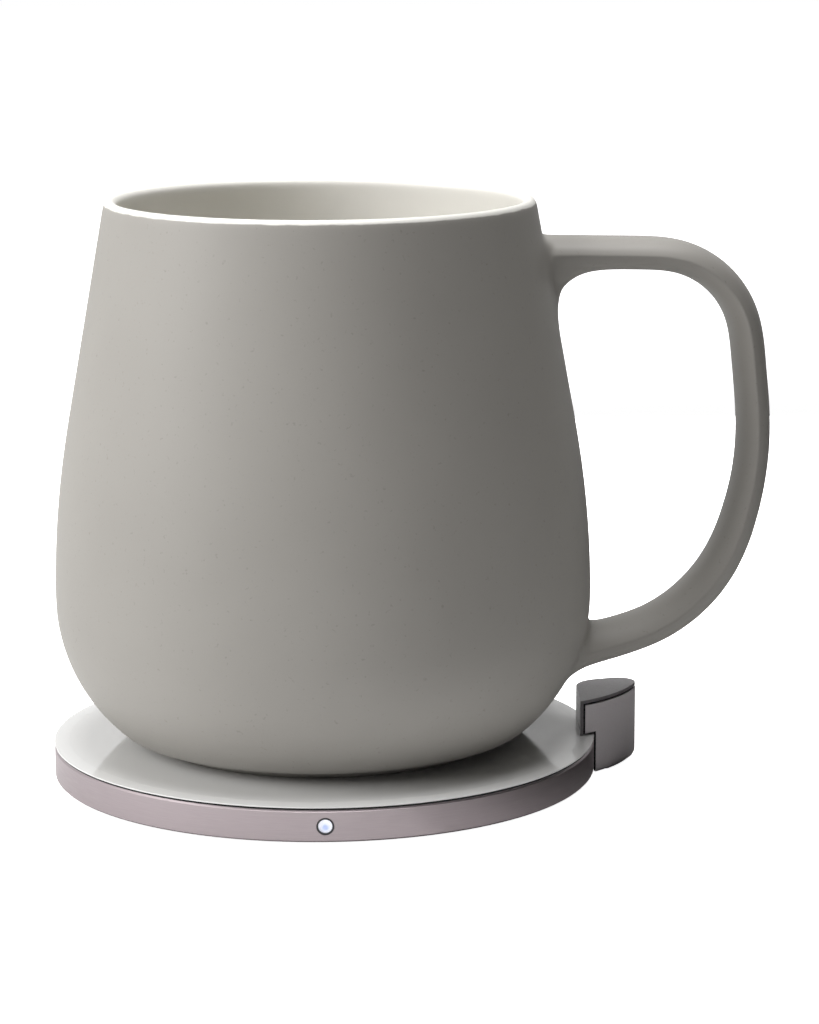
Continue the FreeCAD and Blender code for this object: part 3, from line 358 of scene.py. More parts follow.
def outer_radius(height):
    """Outside radius of the bowl at a height."""
    if height < BELLY_HEIGHT:
        middle = MUG_RADIUS - BELLY_CURVE
        return middle + math.sqrt(BELLY_CURVE ** 2 - (BELLY_HEIGHT - height) ** 2)
    if height < side_low:
        middle = MUG_RADIUS - SIDE_CURVE
        return middle + math.sqrt(SIDE_CURVE ** 2 - (height - BELLY_HEIGHT) ** 2)
    return side_low_radius - (height - side_low) * math.tan(SIDE_LEAN)


def inner_radius(height):
    """Inside radius of the bowl at a height above its curved floor."""
    inner_belly = FLOOR_TOP + FLOOR_CURVE
    if height < inner_belly:
        drop = inner_belly - height
        return MUG_RADIUS - WALL - FLOOR_CURVE + math.sqrt(max(FLOOR_CURVE ** 2 - drop ** 2, 0))
    taper = (height - inner_belly) / (lip_low - inner_belly)
    wall = WALL + (2 * LIP_ROUND - WALL) * taper ** 2
    return outer_radius(height) - wall


print("widest", MUG_RADIUS, "rim", round(outer_radius(lip_low), 2), "mm")

# %% [markdown]
# The profile goes from the middle of the foot round the outside, over the lip, and down to the middle
# of the floor. The heights are closer together where the curve is tighter, and each root of the
# handle gets four rows of faces.

# %% Profile of the bowl
LOW_ROOT = (9.9, 11.8, 14.0, 16.4, 19.0)
HIGH_ROOT = (68.0, 73.4, 77.7, 80.7, 82.9)
FOOT = [(0.0, HEATER_DEPTH), (12.0, HEATER_DEPTH), (25.2, HEATER_DEPTH), (25.9, HEATER_DEPTH),
        (HEATER_RADIUS, 2.9), (HEATER_RADIUS, 0.8), (26.5, 0.25), (26.9, 0.0), (28.9, 0.0),
        (29.4, 0.2), (29.7, 0.7), (30.3, 1.15), (31.6, 1.4)]
BELLY_ROWS = (1.9, 2.9, 4.3, 6.0, 7.8)
SIDE_ROWS = (21.2, 24.1, 28.0, 32.5, 37.0, 42.0, 47.0, 52.0, 56.3, 60.0, 63.0, 65.6)
RIM_ROWS = (84.4, 86.1, 87.4)
INNER_ROWS = (86.5, 82.0, 76.0, 69.0, 62.0, 55.0, 48.0, 41.0, 34.0, 28.0, 23.0, 18.5, 14.5, 11.3,
              9.2, 7.9)
lip_middle = outer_radius(lip_low) - LIP_ROUND
outer_rows = BELLY_ROWS + LOW_ROOT + SIDE_ROWS + HIGH_ROOT + RIM_ROWS
outside = FOOT + [(outer_radius(h), h) for h in outer_rows]
lip = [(lip_middle + LIP_ROUND * math.cos(a), lip_low + LIP_ROUND * math.sin(a))
       for a in (math.radians(step) for step in (0, 45, 90, 135, 180))]
inside = [(inner_radius(h), h) for h in INNER_ROWS]
bottom = [(22.0, FLOOR_TOP + 0.1), (16.0, FLOOR_TOP), (8.0, FLOOR_TOP), (0.0, FLOOR_TOP)]
profile = outside + lip + inside + bottom
print(len(profile), "points round the profile")

# %% [markdown]
# The handle's centre line is five corners, rounded by tangent arcs, in an upright plane through the
# mug's axis. The helper walks along such a line and gives a place and a direction every few
# millimetres. The solid handle of the frame has nearly the same five corners.

# %% Handle line
HANDLE_CORNERS = [(34.0, 80.3, 0.0), (68.75, 79.6, 15.4), (72.24, 44.75, 50.0),
                  (63.89, 19.36, 26.2), (34.0, 11.61, 0.0)]
STATION_SPACING = 4.0


def rounded_line(corners):
    """Straight runs and arcs as a list of (start, end, centre or None)."""
    points = [Vector(corner[:2]) for corner in corners]
    runs, last = [], points[0]
    for before, point, after, corner in zip(points, points[1:], points[2:], corners[1:]):
        back = (before - point).normalized()
        forth = (after - point).normalized()
        half_turn = (math.pi - back.angle(forth)) / 2
        cut = corner[2] * math.tan(half_turn)
        start, end = point + back * cut, point + forth * cut
        centre = point + (back + forth).normalized() * corner[2] / math.cos(half_turn)
        runs.append((last, start, None))
        runs.append((start, end, centre))
        last = end
    runs.append((last, points[-1], None))
    return runs


def walk(runs, spacing):
    """Places and directions along the line."""
    stations = []
    for start, end, centre in runs:
        if centre is None:
            count = max(1, round((end - start).length / spacing))
            direction = (end - start).normalized()
            stations += [(start.lerp(end, i / count), direction) for i in range(count)]
            continue
        first, second = start - centre, end - centre
        sweep = first.angle_signed(second)
        count = max(2, round(abs(sweep) * first.length / spacing))
        for i in range(count):
            angle = -sweep * i / count
            arm = Vector((first.x * math.cos(angle) - first.y * math.sin(angle),
                          first.x * math.sin(angle) + first.y * math.cos(angle)))
            side = 1 if sweep < 0 else -1
            stations.append((centre + arm, Vector((-arm.y, arm.x)).normalized() * side))
    return stations


handle_runs = rounded_line(HANDLE_CORNERS)
handle_stations = walk(handle_runs, STATION_SPACING)
print(len(handle_stations), "stations along the handle")

# %% [markdown]
# Spinning the profile is what a potter's wheel does. The spin starts at the handle's plane, so that a
# row of points lies in that plane, and the openings for the roots are even on both sides of it.

# %% Spin the bowl
def spin_profile(points, segments, start_angle):
    """Spin a profile of (radius, height) in millimetres about the upright axis."""
    bm = bmesh.new()
    across, along = math.cos(start_angle), math.sin(start_angle)
    verts = [bm.verts.new((r * across * MM, r * along * MM, h * MM)) for r, h in points]
    edges = [bm.edges.new(pair) for pair in zip(verts, verts[1:])]
    bmesh.ops.spin(bm, geom=verts + edges, cent=(0, 0, 0), axis=(0, 0, 1), angle=2 * math.pi,
                   steps=segments, use_merge=True, use_normal_flip=False, use_duplicate=False)
    bmesh.ops.remove_doubles(bm, verts=bm.verts, dist=1e-7)
    bmesh.ops.recalc_face_normals(bm, faces=bm.faces)
    return bm


mug_bm = spin_profile(profile, SEGMENTS, HANDLE_TURN)
print("bowl:", len(mug_bm.faces), "faces")

# %% Open the wall for the handle
ON_WALL = 0.2
ROOM = 0.1


def column_and_height(vert):
    """Columns counted from the handle's plane, and height above the plate."""
    angle = math.atan2(vert.co.y, vert.co.x) - HANDLE_TURN
    angle = (angle + math.pi) % (2 * math.pi) - math.pi
    return angle / (2 * math.pi / SEGMENTS), vert.co.z / MM


def on_outside(vert):
    radius = math.hypot(vert.co.x, vert.co.y) / MM
    return abs(radius - outer_radius(vert.co.z / MM)) < ON_WALL


def root_faces(bm, rows):
    """The four by four faces of the wall that lie inside a root."""
    found = []
    for face in bm.faces:
        spots = [column_and_height(vert) for vert in face.verts]
        if all(abs(c) < 2 + ROOM and rows[0] - ROOM < h < rows[-1] + ROOM for c, h in spots):
            if all(on_outside(vert) for vert in face.verts):
                found.append(face)
    return found


for rows in (HIGH_ROOT, LOW_ROOT):
    faces = root_faces(mug_bm, rows)
    print("opening of", len(faces), "faces")
    bmesh.ops.delete(mug_bm, geom=faces, context="FACES")

# %% [markdown]
# The wall is wider round at the lower root than at the upper one, so an opening of four columns is
# too wide there. Its columns are gathered towards the handle's plane by turning their points about
# the mug's axis: the wall keeps its shape, because every point stays on its own circle.

# %% Gather the columns at the lower root
GATHER = 0.17
GATHER_FADE = 6.0
GATHER_REACH = 4.6


def gathered(column, weight):
    """Where a column goes: the inner two move in step, those beyond move less and less."""
    near = min(abs(column), 2.0) * GATHER * weight
    fade = 1.0
    if abs(column) > 2.0:
        fade = max(0.0, (GATHER_REACH - abs(column)) / (GATHER_REACH - 2.0))
    return column - math.copysign(near * fade, column)


for vert in mug_bm.verts:
    column, height = column_and_height(vert)
    beyond = max(LOW_ROOT[0] - height, height - LOW_ROOT[-1], 0.0)
    if on_outside(vert) and abs(column) < GATHER_REACH and beyond < GATHER_FADE:
        turn = (gathered(column, 1 - beyond / GATHER_FADE) - column) * 2 * math.pi / SEGMENTS
        turning = Quaternion((0, 0, 1), turn).to_matrix()
        bmesh.ops.rotate(mug_bm, cent=(0, 0, 0), matrix=turning, verts=[vert])
print("columns gathered by", GATHER)

# %% [markdown]
# The handle's section is an oval with a soft ridge at its widest place: the outside of the loop is a
# full curve, and the inside is flatter, so that it lies well in the fingers. Sixteen points are
# enough, because the subdivision surface rounds them. They are given as shares of the half width
# and half thickness for one side, and the other side is mirrored.

# %% Section of the handle
HALF_WIDTH = 6.25
HALF_THICKNESS = 2.7
SECTION = {(0, 2): (0.0, 1.02), (1, 2): (0.42, 0.95), (2, 2): (0.77, 0.68),
           (2, 1): (0.93, 0.34), (2, 0): (1.01, 0.0), (2, -1): (0.90, -0.38),
           (2, -2): (0.70, -0.74), (1, -2): (0.38, -0.97), (0, -2): (0.0, -1.02)}
RIDGE_CREASE = 0.75
plane_out = Vector((math.cos(HANDLE_TURN), math.sin(HANDLE_TURN), 0))
plane_side = Vector((-math.sin(HANDLE_TURN), math.cos(HANDLE_TURN), 0))


def section_point(station, column, level):
    """Point of the handle's section. Level 2 is the outside of the loop and -2 the inside."""
    place, direction, wider, grow_out, grow_in, clear = station
    across, outwards = SECTION[abs(column), level]
    across = math.copysign(across * (HALF_WIDTH + wider), column)
    outwards *= HALF_THICKNESS + (grow_out if outwards > 0 else grow_in)
    spot = place + Vector((-direction.y, direction.x)) * outwards
    if clear is not None:
        spot.x = max(spot.x, math.sqrt((outer_radius(spot.y) + clear) ** 2 - across ** 2))
    return (plane_out * spot.x + plane_side * across + Vector((0, 0, spot.y))) * MM


print("section", 2 * HALF_WIDTH, "by", 2 * HALF_THICKNESS, "mm")

# %% [markdown]
# The section stands at stations along the line. Near the wall they are closer together and thicker on
# the inside of the loop, which draws the hollow fillet that slip leaves. Each row is a station: how
# far it is outside the wall, how much wider, and how much thicker on the outside and on the inside of
# the loop.

# %% Stations of the handle
HIGH_STATIONS = ((0.35, 0.5, 0.0, 7.0), (1.2, 0.3, 0.0, 5.2), (2.5, 0.1, 0.0, 3.3),
                 (4.3, 0.0, 0.0, 1.6), (6.5, 0.0, 0.0, 0.5))
LOW_STATIONS = ((6.2, 0.0, 0.45, 0.4), (3.8, 0.1, 0.45, 0.6), (1.9, 0.3, 0.5, 1.25),
                (0.7, 0.6, 0.5, 2.2))
PLAIN_FROM_HIGH, PLAIN_FROM_LOW = 8.0, 8.6
THICKER_FROM, THICKER_OVER, THICKER_BY = 42.0, 18.0, 0.38
HIGH_WALL, LOW_WALL = outer_radius(79.6), outer_radius(13.8)


def root_station(start, direction, wall_radius, distance, wider, grow_out, grow_in):
    """Station this far outside the wall, fuller than the rest. All its points stay outside the wall."""
    steps = (wall_radius + distance - start.x) / direction.x
    clear = min(distance, 1.0) * 0.8
    return (start + direction * steps, direction, wider, grow_out, grow_in, clear)


def fuller(place):
    """The loop grows a little thicker from the middle of its side down to the lower arm."""
    return THICKER_BY * min(max((THICKER_FROM - place.y) / THICKER_OVER, 0.0), 1.0)


def in_the_open(place):
    """Whether a station of the line is past the closer ones of the roots."""
    return place.x > (HIGH_WALL + PLAIN_FROM_HIGH if place.y > 50 else LOW_WALL + PLAIN_FROM_LOW)


start, heading = handle_runs[0][0], (handle_runs[0][1] - handle_runs[0][0]).normalized()
stations = [root_station(start, heading, HIGH_WALL, *row) for row in HIGH_STATIONS]
stations += [(place, direction, 0.0, fuller(place), fuller(place), None)
             for place, direction in handle_stations if in_the_open(place)]
start, heading = handle_runs[-1][1], (handle_runs[-1][1] - handle_runs[-1][0]).normalized()
stations += [root_station(start, heading, LOW_WALL, *row) for row in LOW_STATIONS]
print("stations:", len(stations))

# %% [markdown]
# Now the ring of points round the upper opening is pulled out along the stations. Each point carries a
# mark, its column and its level, and takes its place in the section by it. The points at the widest
# place get a crease along the handle, which keeps the ridge through the subdivision.

# %% Draw the handle out of the upper opening
def open_ring(bm, rows):
    """Boundary edges of the opening between these rows."""
    return [edge for edge in bm.edges if edge.is_boundary
            and all(rows[0] - ROOM < column_and_height(v)[1] < rows[-1] + ROOM for v in edge.verts)]


crease_layer = mug_bm.edges.layers.float.new("crease_edge")
low_opening = open_ring(mug_bm, LOW_ROOT)
ring = open_ring(mug_bm, HIGH_ROOT)
print("opening edges:", len(ring), len(low_opening))
marks = {}
for vert in {v for edge in ring for v in edge.verts}:
    column, height = column_and_height(vert)
    level = min(range(5), key=lambda i: abs(HIGH_ROOT[i] - height)) - 2
    marks[vert] = (round(column), level)
for number, station in enumerate(stations):
    made = bmesh.ops.extrude_edge_only(mug_bm, edges=ring)["geom"]
    new_verts = [item for item in made if isinstance(item, bmesh.types.BMVert)]
    ring = [item for item in made if isinstance(item, bmesh.types.BMEdge)
            and all(v in new_verts for v in item.verts)]
    moved = {}
    for vert in new_verts:
        source = next(edge.other_vert(vert) for edge in vert.link_edges
                      if edge.other_vert(vert) in marks)
        moved[vert] = marks[source]
    for vert, (column, level) in moved.items():
        vert.co = section_point(station, column, level)
        if abs(column) == 2 and level == 0 and number > 0:
            for edge in vert.link_edges:
                edge[crease_layer] = RIDGE_CREASE if edge.other_vert(vert) in marks else 0.0
    marks = moved

# %% [markdown]
# The last ring is bridged to the lower opening, which closes the skin. Then the whole mug is lifted
# onto the plate.

# %% Bridge the handle to the lower opening
bridge = bmesh.ops.bridge_loops(mug_bm, edges=ring + low_opening)
longest = max(edge.calc_length() for edge in bridge["edges"])
bmesh.ops.recalc_face_normals(mug_bm, faces=mug_bm.faces)
bmesh.ops.translate(mug_bm, vec=(0, 0, PLATE_TOP * MM), verts=mug_bm.verts)
print("longest bridge edge", round(longest / MM, 1), "mm")
print("open edges left on the mug:", sum(edge.is_boundary for edge in mug_bm.edges))

# %% [markdown]
# The glaze is grey outside and cream inside, and the line where they meet runs along the rim. A number
# on each point, 0 outside and 1 inside, tells the material which one it is, and the surface blends it
# along the rim. It is set by which side of the wall's middle the point lies.

# %% Mark the inside
INSIDE_DEPTH = 1.2


def is_inside(point):
    """1 where a point of the mug carries the cream glaze, and 0 where it carries the grey one."""
    radius = math.hypot(point.x, point.y) / MM
    height = point.z / MM - PLATE_TOP
    if height < FLOOR_TOP - 1 or radius > MUG_RADIUS:
        return 0.0
    if height > lip_low - ROOM:
        return 1.0 if height > lip_low + 0.5 or radius < lip_middle else 0.0
    return 1.0 if radius < outer_radius(height) - INSIDE_DEPTH else 0.0


inside_layer = mug_bm.verts.layers.float.new("inside")
for vert in mug_bm.verts:
    vert[inside_layer] = is_inside(vert.co)
print("marked", len(mug_bm.verts), "points")

# %% [markdown]
# A finished piece is an object at the origin that rides on one of the two bodies. A piece with a
# subdivision surface is smooth by itself. On the others, edges that turn sharply stay crisp, and
# Weighted Normal makes the large faces look flat although small rounded edges meet them.

# %% Helper for a finished piece
SHARP_TURN = math.radians(28)


def finish_piece(bm, name, body, material, levels=0):
    """Turn a bmesh into a named piece that rides on a body."""
    if not levels:
        for edge in bm.edges:
            edge.smooth = edge.is_manifold and edge.calc_face_angle() < SHARP_TURN
    piece = object_from(bm, name)
    bm.free()
    for polygon in piece.data.polygons:
        polygon.use_smooth = True
    piece.data.materials.append(material)
    if levels:
        subdivision = piece.modifiers.new("surface", "SUBSURF")
        subdivision.levels = levels
        subdivision.render_levels = levels
    else:
        normals = piece.modifiers.new("normals", "WEIGHTED_NORMAL")
        normals.keep_sharp = True
    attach(piece, body)
    return piece


print("crisp from", round(math.degrees(SHARP_TURN)), "degrees")

# %% [markdown]
# The two glazes are the same silica glass with other pigments. The grey one is matte, with faint
# clouds and dark iron specks. The cream one is a little glossier. Where they meet, the line wanders by
# some tenths of a millimetre, as it does after dipping.

# %% Glaze of the mug
def glaze_material():
    """Matte grey glaze outside, satin cream glaze inside."""
    material, tree, shader = new_material("mug_glaze")
    shader.inputs["Specular IOR Level"].default_value = 0.35
    marker = add_node(tree, "ShaderNodeAttribute", attribute_name="inside")
    wander = stretch(tree, noise(tree, 260.0), 0.3, 0.7, -0.1, 0.1)
    edge = calculate(tree, "ADD", marker.outputs["Fac"], wander)
    side = stretch(tree, edge, 0.35, 0.62)
    cloud = stretch(tree, noise(tree, 22.0, 4.0), 0.35, 0.65)
    grey = blend_colours(tree, cloud, colour(148, 145, 140), colour(153, 150, 145))
    speck = stretch(tree, noise(tree, 1500.0, 2.0), 0.66, 0.76, 0.0, 0.35)
    grey = blend_colours(tree, speck, grey, colour(118, 114, 108))
    cream = blend_colours(tree, cloud, colour(236, 234, 229), colour(232, 230, 223))
    tint(tree, shader, side, grey, cream)
    tree.links.new(stretch(tree, side, 0.0, 1.0, 0.52, 0.42), shader.inputs["Roughness"])
    first = add_bump(tree, shader, noise(tree, 1400.0, 4.0), 0.05, 0.0002)
    add_bump(tree, shader, noise(tree, 90.0, 2.0), 0.03, 0.0008, first)
    return material


mug_glaze = glaze_material()
mug_body = finish_piece(mug_bm, "mug_body", "mug", mug_glaze, levels=2)
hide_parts("mug_shell", "mug_handle")
print("mug faces before subdivision:", len(mug_body.data.polygons))

# %% [markdown]
# Every other finish follows how its piece is made. Moulded plastics and rubbers carry the fine grain
# of a spark-eroded mould and a faint cloudiness.

# %% Moulded plastics and rubbers
def moulded(name, rgb, roughness, grain=2600.0, depth=0.00004, cloud=0.93, coat=0.0):
    """Plastic, rubber or fired ceramic with a fine grain and faint clouds."""
    material, tree, shader = new_material(name, roughness)
    base = colour(*rgb)
    darker = tuple(channel * cloud for channel in base[:3]) + (1.0,)
    clouds = stretch(tree, noise(tree, 90.0, 3.0), 0.35, 0.65)
    tint(tree, shader, clouds, darker, base)
    fine = noise(tree, grain, 4.0, 0.6)
    roughen(tree, shader, fine, roughness - 0.05, roughness + 0.05)
    shader.inputs["Coat Weight"].default_value = coat
    shader.inputs["Coat Roughness"].default_value = 0.04
    add_bump(tree, shader, fine, 0.12, depth)
    FINISHES[name] = material


FINISHES = {"mug_glaze": mug_glaze}
moulded("mat_silicone", (46, 46, 47), 0.82, 1800.0, 0.00008)
moulded("cover_plastic", (88, 85, 85), 0.58, 2200.0, 0.00009)
moulded("gasket_rubber", (17, 16, 17), 0.85)
moulded("plate_gloss", (227, 227, 226), 0.1, 160.0, 0.00002, 0.995, coat=0.25)
moulded("sensor_glass", (34, 33, 33), 0.16, 400.0, coat=0.6)
moulded("chip_black", (28, 28, 30), 0.55, 5200.0)
moulded("diode_body", (236, 236, 228), 0.35)
# Near black. On the post's inner frame this is painted shade: it darkens the narrow shadow gap.
moulded("bezel_dark", (30, 30, 34), 0.28)
moulded("seal_disc", (212, 209, 203), 0.46)
moulded("capacitor_ceramic", (172, 146, 114), 0.38, 3800.0, cloud=0.8)
print("moulded finishes:", len(FINISHES))

# %% [markdown]
# The side wall is brushed as it turns, so its lines run level round it: the noise is pressed flat
# along the upright axis. The inlet's shell is drawn from sheet, with faint lines along the plug's
# way, so there the noise is drawn out along Y. The two satin finishes of the post are paints with a
# little metal in them, and have no lines.

# %% Metals
def metal(name, rgb, roughness, lines=(1, 1, 1), scale=900.0, depth=0.00002, shine=1.0, streaks=0.93):
    """Metal, or paint with metal in it. A large number in lines presses the noise along that axis."""
    material, tree, shader = new_material(name, roughness, shine)
    drawn = noise(tree, scale, 4.0, 0.6, lines)
    base = colour(*rgb)
    darker = tuple(channel * streaks for channel in base[:3]) + (1.0,)
    tint(tree, shader, stretch(tree, drawn, 0.3, 0.7), darker, base)
    roughen(tree, shader, drawn, roughness + 0.05, roughness - 0.04)
    add_bump(tree, shader, drawn, 0.1, depth)
    FINISHES[name] = material


metal("ring_metal", (166, 156, 159), 0.4, (1, 1, 45), 260.0)
metal("inlet_metal", (202, 202, 206), 0.2, (1, 0.05, 1), 1600.0)
metal("post_satin", (204, 198, 200), 0.42, scale=3200.0, shine=0.2, streaks=0.96)
metal("panel_satin", (122, 118, 120), 0.32, scale=3200.0, shine=0.35, streaks=0.96)
print("with metals:", len(FINISHES))

# %% [markdown]
# A screw's head is turned, so it carries fine rings round its own axis, and a coil of wire has its
# turns round the middle of the base. Both are waves along the distance from an axis. The four cover
# screws stand in the four quarters of the base, so the coordinates are folded into one quarter first.

# %% Helpers for rings and patterns
def distance_from_axis(tree, centre=(0, 0, 0), axes="XY", fold=False):
    """Distance from an axis in metres. Folded, the axis is repeated in all four quarters."""
    squares = []
    for axis in axes:
        value = coordinate(tree, axis)
        value = calculate(tree, "ABSOLUTE", value) if fold else value
        value = calculate(tree, "SUBTRACT", value, centre["XYZ".index(axis)])
        squares.append(calculate(tree, "MULTIPLY", value, value))
    return calculate(tree, "SQRT", calculate(tree, "ADD", *squares))


def waves(tree, value, pitch):
    """A smooth wave from 0 to 1 that repeats after each pitch of a length."""
    swing = calculate(tree, "SINE", calculate(tree, "MULTIPLY", value, 2 * math.pi / pitch))
    return stretch(tree, swing, -1.0, 1.0)


def patterned(name, pattern, dark, light, rough, grain, bump, metallic=0.0):
    """Finish with a pattern, which gives a shade and a height.

    rough is the middle, smoothest and roughest value, and bump is its strength and its depth.
    """
    material, tree, shader = new_material(name, rough[0], metallic)
    shade, height = pattern(tree)
    tint(tree, shader, shade, colour(*dark), colour(*light))
    roughen(tree, shader, noise(tree, grain), *rough[1:])
    add_bump(tree, shader, height, *bump)
    FINISHES[name] = material


print("rings are waves along a distance")

# %% Screws
SCREW_HEAD = 1.4 * MM
TURNING_PITCH = 0.22 * MM


def turning_marks(tree):
    """Rings round the cover screws, one in each quarter of the base."""
    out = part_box("cover_screws")[1].x - SCREW_HEAD
    rings = waves(tree, distance_from_axis(tree, (out, out, 0), fold=True), TURNING_PITCH)
    return rings, rings


patterned("screw_steel", turning_marks, (158, 158, 162), (182, 182, 186), (0.34, 0.26, 0.42), 700.0,
          (0.15, 0.00003), metallic=1.0)
print("with screws:", len(FINISHES))

# %% [markdown]
# The pieces inside get their finishes from the way they work. A coil shows its turns of wire, so its
# bump is a wave along the radius, and its colour follows that wave as painted light on top of each turn
# and painted shade between turns. Ferrite is pressed from dark grains. A circuit board has thin copper
# tracks under its green mask. The flat cable shows its copper lines through the amber film, and the
# heat pad is woven.

# %% Coil and ferrite
WIRE_PITCH = 0.75 * MM


def coil_turns_and_painted_shade(tree):
    """Enamelled copper wire, with painted light on top of each turn and painted shade between two turns.
    """
    turns = waves(tree, distance_from_axis(tree), WIRE_PITCH)
    # The first value colours the wire: painted light on top of each turn, painted shade between turns.
    return stretch(tree, turns, 0.0, 0.35), turns


def pressed_grains(tree):
    """Dark powder with lighter grains."""
    grains = stretch(tree, noise(tree, 3600.0, 2.0), 0.58, 0.68)
    return grains, noise(tree, 2400.0, 4.0)


patterned("coil_copper", coil_turns_and_painted_shade, (84, 40, 22), (196, 116, 70), (0.3, 0.24, 0.38), 500.0,
          (0.6, 0.00025), metallic=0.9)
patterned("ferrite", pressed_grains, (56, 56, 59), (84, 84, 88), (0.6, 0.5, 0.7), 700.0,
          (0.2, 0.00006))
print("turns of wire per centimetre:", round(10 * MM / WIRE_PITCH, 1))

# %% Heat pad and flat cable
THREAD_PITCH, LINE_PITCH = 0.6 * MM, 0.5 * MM


def weave(tree):
    """Woven glass threads, lightest where two threads cross."""
    threads = [waves(tree, coordinate(tree, axis), THREAD_PITCH) for axis in "XY"]
    woven = calculate(tree, "MULTIPLY", *threads)
    return woven, woven


def copper_lines(tree):
    """Copper lines along X, seen through amber film."""
    lines = stretch(tree, waves(tree, coordinate(tree, "Y"), LINE_PITCH), 0.5, 0.6)
    return lines, lines


patterned("heat_pad", weave, (178, 176, 168), (214, 213, 207), (0.85, 0.78, 0.92), 900.0,
          (0.4, 0.0001))
patterned("ribbon_film", copper_lines, (206, 132, 54), (150, 78, 36), (0.28, 0.22, 0.36), 600.0,
          (0.2, 0.00003))
print("with pad and cable:", len(FINISHES))

# %% Circuit board
TRACK_PITCH = 1.1 * MM


def board_material():
    """Green mask over tracks that run along X in one half of the patches and along Y in the other."""
    material, tree, shader = new_material("circuit_board", 0.32)
    patch = calculate(tree, "GREATER_THAN", noise(tree, 120.0, 0.0), 0.5)
    along = [stretch(tree, waves(tree, coordinate(tree, axis), TRACK_PITCH), 0.80, 0.88)
             for axis in "XY"]
    mixer = add_node(tree, "ShaderNodeMix", data_type="FLOAT")
    for value, socket in zip((patch, *along), (mixer.inputs[0], mixer.inputs[2], mixer.inputs[3])):
        tree.links.new(value, socket)
    tracks = mixer.outputs[0]
    tint(tree, shader, tracks, colour(20, 74, 48), colour(44, 116, 70))
    tree.links.new(stretch(tree, tracks, 0.0, 1.0, 0.36, 0.28), shader.inputs["Roughness"])
    add_bump(tree, shader, tracks, 0.3, 0.00004)
    return material


FINISHES["circuit_board"] = board_material()
print("with the board:", len(FINISHES))

# %% [markdown]
# The light in the wall is the end of a light pipe, a rod of milky plastic that carries the light of a
# diode to the front. It glows faintly by itself, whitest near its rim and bluish in the middle, so its
# colour follows the distance from a line along Y, a little below the rod's own axis.

# %% Lens of the light
LENS_GLOW = 0.5
LENS_DROP = 0.2 * MM
LENS_MIDDLE, LENS_RIM = 0.25 * MM, 0.95 * MM


def lens_material():
    """Milky light pipe, lit from behind: whitest at its rim and bluish in the middle."""
    material, tree, shader = new_material("lens_clear", 0.16)
    low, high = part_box("indicator_lens")
    centre = (0.0, 0.0, (low.z + high.z) / 2 - LENS_DROP)
    outwards = stretch(tree, distance_from_axis(tree, centre, "XZ"), LENS_MIDDLE, LENS_RIM)
    cloudy = stretch(tree, noise(tree, 1200.0), 0.3, 0.7, -0.15, 0.15)
    glow = blend_colours(tree, calculate(tree, "ADD", outwards, cloudy),
                         colour(176, 190, 226), colour(243, 245, 255))
    tree.links.new(glow, shader.inputs["Base Color"])
    tree.links.new(glow, shader.inputs["Emission Color"])
    shader.inputs["Emission Strength"].default_value = LENS_GLOW
    add_bump(tree, shader, noise(tree, 2000.0), 0.05, 0.00003)
    return material


FINISHES["lens_clear"] = lens_material()

# %% Give every node its finish
for subpart in frame["record"]["subparts"]:
    node = frame["nodes"][subpart["node"]]
    node.data.materials.clear()
    node.data.materials.append(FINISHES[subpart["material_slot"]])

# %% [markdown]
# The post is two mouldings on an inner frame, which is near black as painted shade for the gap. The
# curved body is its back and its sides. The trim is a thin L: its top, and in one piece with it the flat
# front that faces the mug. A narrow shadow gap parts it from the body. All of them have the same
# leaf-shaped plan: a long arc, a tight tip, a slanted back and a rounded corner. So one helper draws
# that plan at any inset, with arcs that are spun from a single point, and the mouldings are cut from
# blocks of it.

# %% Plan of the post
SAME_POINT = 0.01
post_low, post_high = (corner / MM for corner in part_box("post_shell"))
BACK_LEAN = math.radians(16.5)
LONG_ARC = (Vector((28.35, 16.84)), 26.0)
TIP_ARC = (Vector((49.92, 8.58)), 2.9)
CORNER_ARC = (Vector((47.65, 5.51)), 5.2)
ARC_STEPS = (72, 32, 18)
FOOT_STEPS = 6
TIP_TURN = math.atan2(TIP_ARC[0].y - LONG_ARC[0].y, TIP_ARC[0].x - LONG_ARC[0].x)
BACK_TURN = math.radians(90) + BACK_LEAN


def turn_at(arc, inset, left):
    """Angle at which an arc meets the flat side."""
    centre, radius = arc
    return math.acos(max(-1.0, (left - centre.x) / (radius - inset)))


def post_plan(bm, inset, left, level):
    """Edges in the shape of the post's plan, set in from its outline and cut off at the flat side."""
    arcs = ((LONG_ARC, -turn_at(LONG_ARC, inset, left), TIP_TURN), (TIP_ARC, TIP_TURN, BACK_TURN),
            (CORNER_ARC, BACK_TURN, turn_at(CORNER_ARC, inset, left)))
    others = set(bm.edges)
    ends = []
    for ((centre, radius), first, last), steps in zip(arcs, ARC_STEPS):
        arm = radius - inset
        start = bm.verts.new((centre.x + arm * math.cos(first), centre.y + arm * math.sin(first), level))
        spun = bmesh.ops.spin(bm, geom=[start], cent=(*centre, level), axis=(0, 0, 1),
                              angle=last - first, steps=steps)
        ends.append((start, spun["geom_last"][0]))
    for (_, end), (start, _) in zip(ends, ends[1:] + ends[:1]):
        bm.edges.new((end, start))
    bmesh.ops.remove_doubles(bm, verts=bm.verts, dist=SAME_POINT)
    return [edge for edge in bm.edges if edge not in others]


def post_block(inset, left, low, high, foot_round=0.0):
    """A block of the post's plan, in millimetres, drawn plan by plan, so that its foot can be round."""
    bm = bmesh.new()
    levels = [(0.0, low), (0.0, high)]
    if foot_round:
        angles = [math.radians(90) * step / FOOT_STEPS for step in range(FOOT_STEPS + 1)]
        levels[:1] = [(foot_round * (1 - math.sin(angle)), low + foot_round * (1 - math.cos(angle)))
                      for angle in angles]
    plans = [post_plan(bm, inset + more, left, level) for more, level in levels]
    for lower, upper in zip(plans, plans[1:]):
        bmesh.ops.bridge_loops(bm, edges=lower + upper)
    for plan in (plans[0], plans[-1]):
        bmesh.ops.contextual_create(bm, geom=plan)
    bmesh.ops.recalc_face_normals(bm, faces=bm.faces)
    return bm


print("post from", [round(v, 2) for v in post_low], "to", [round(v, 2) for v in post_high])

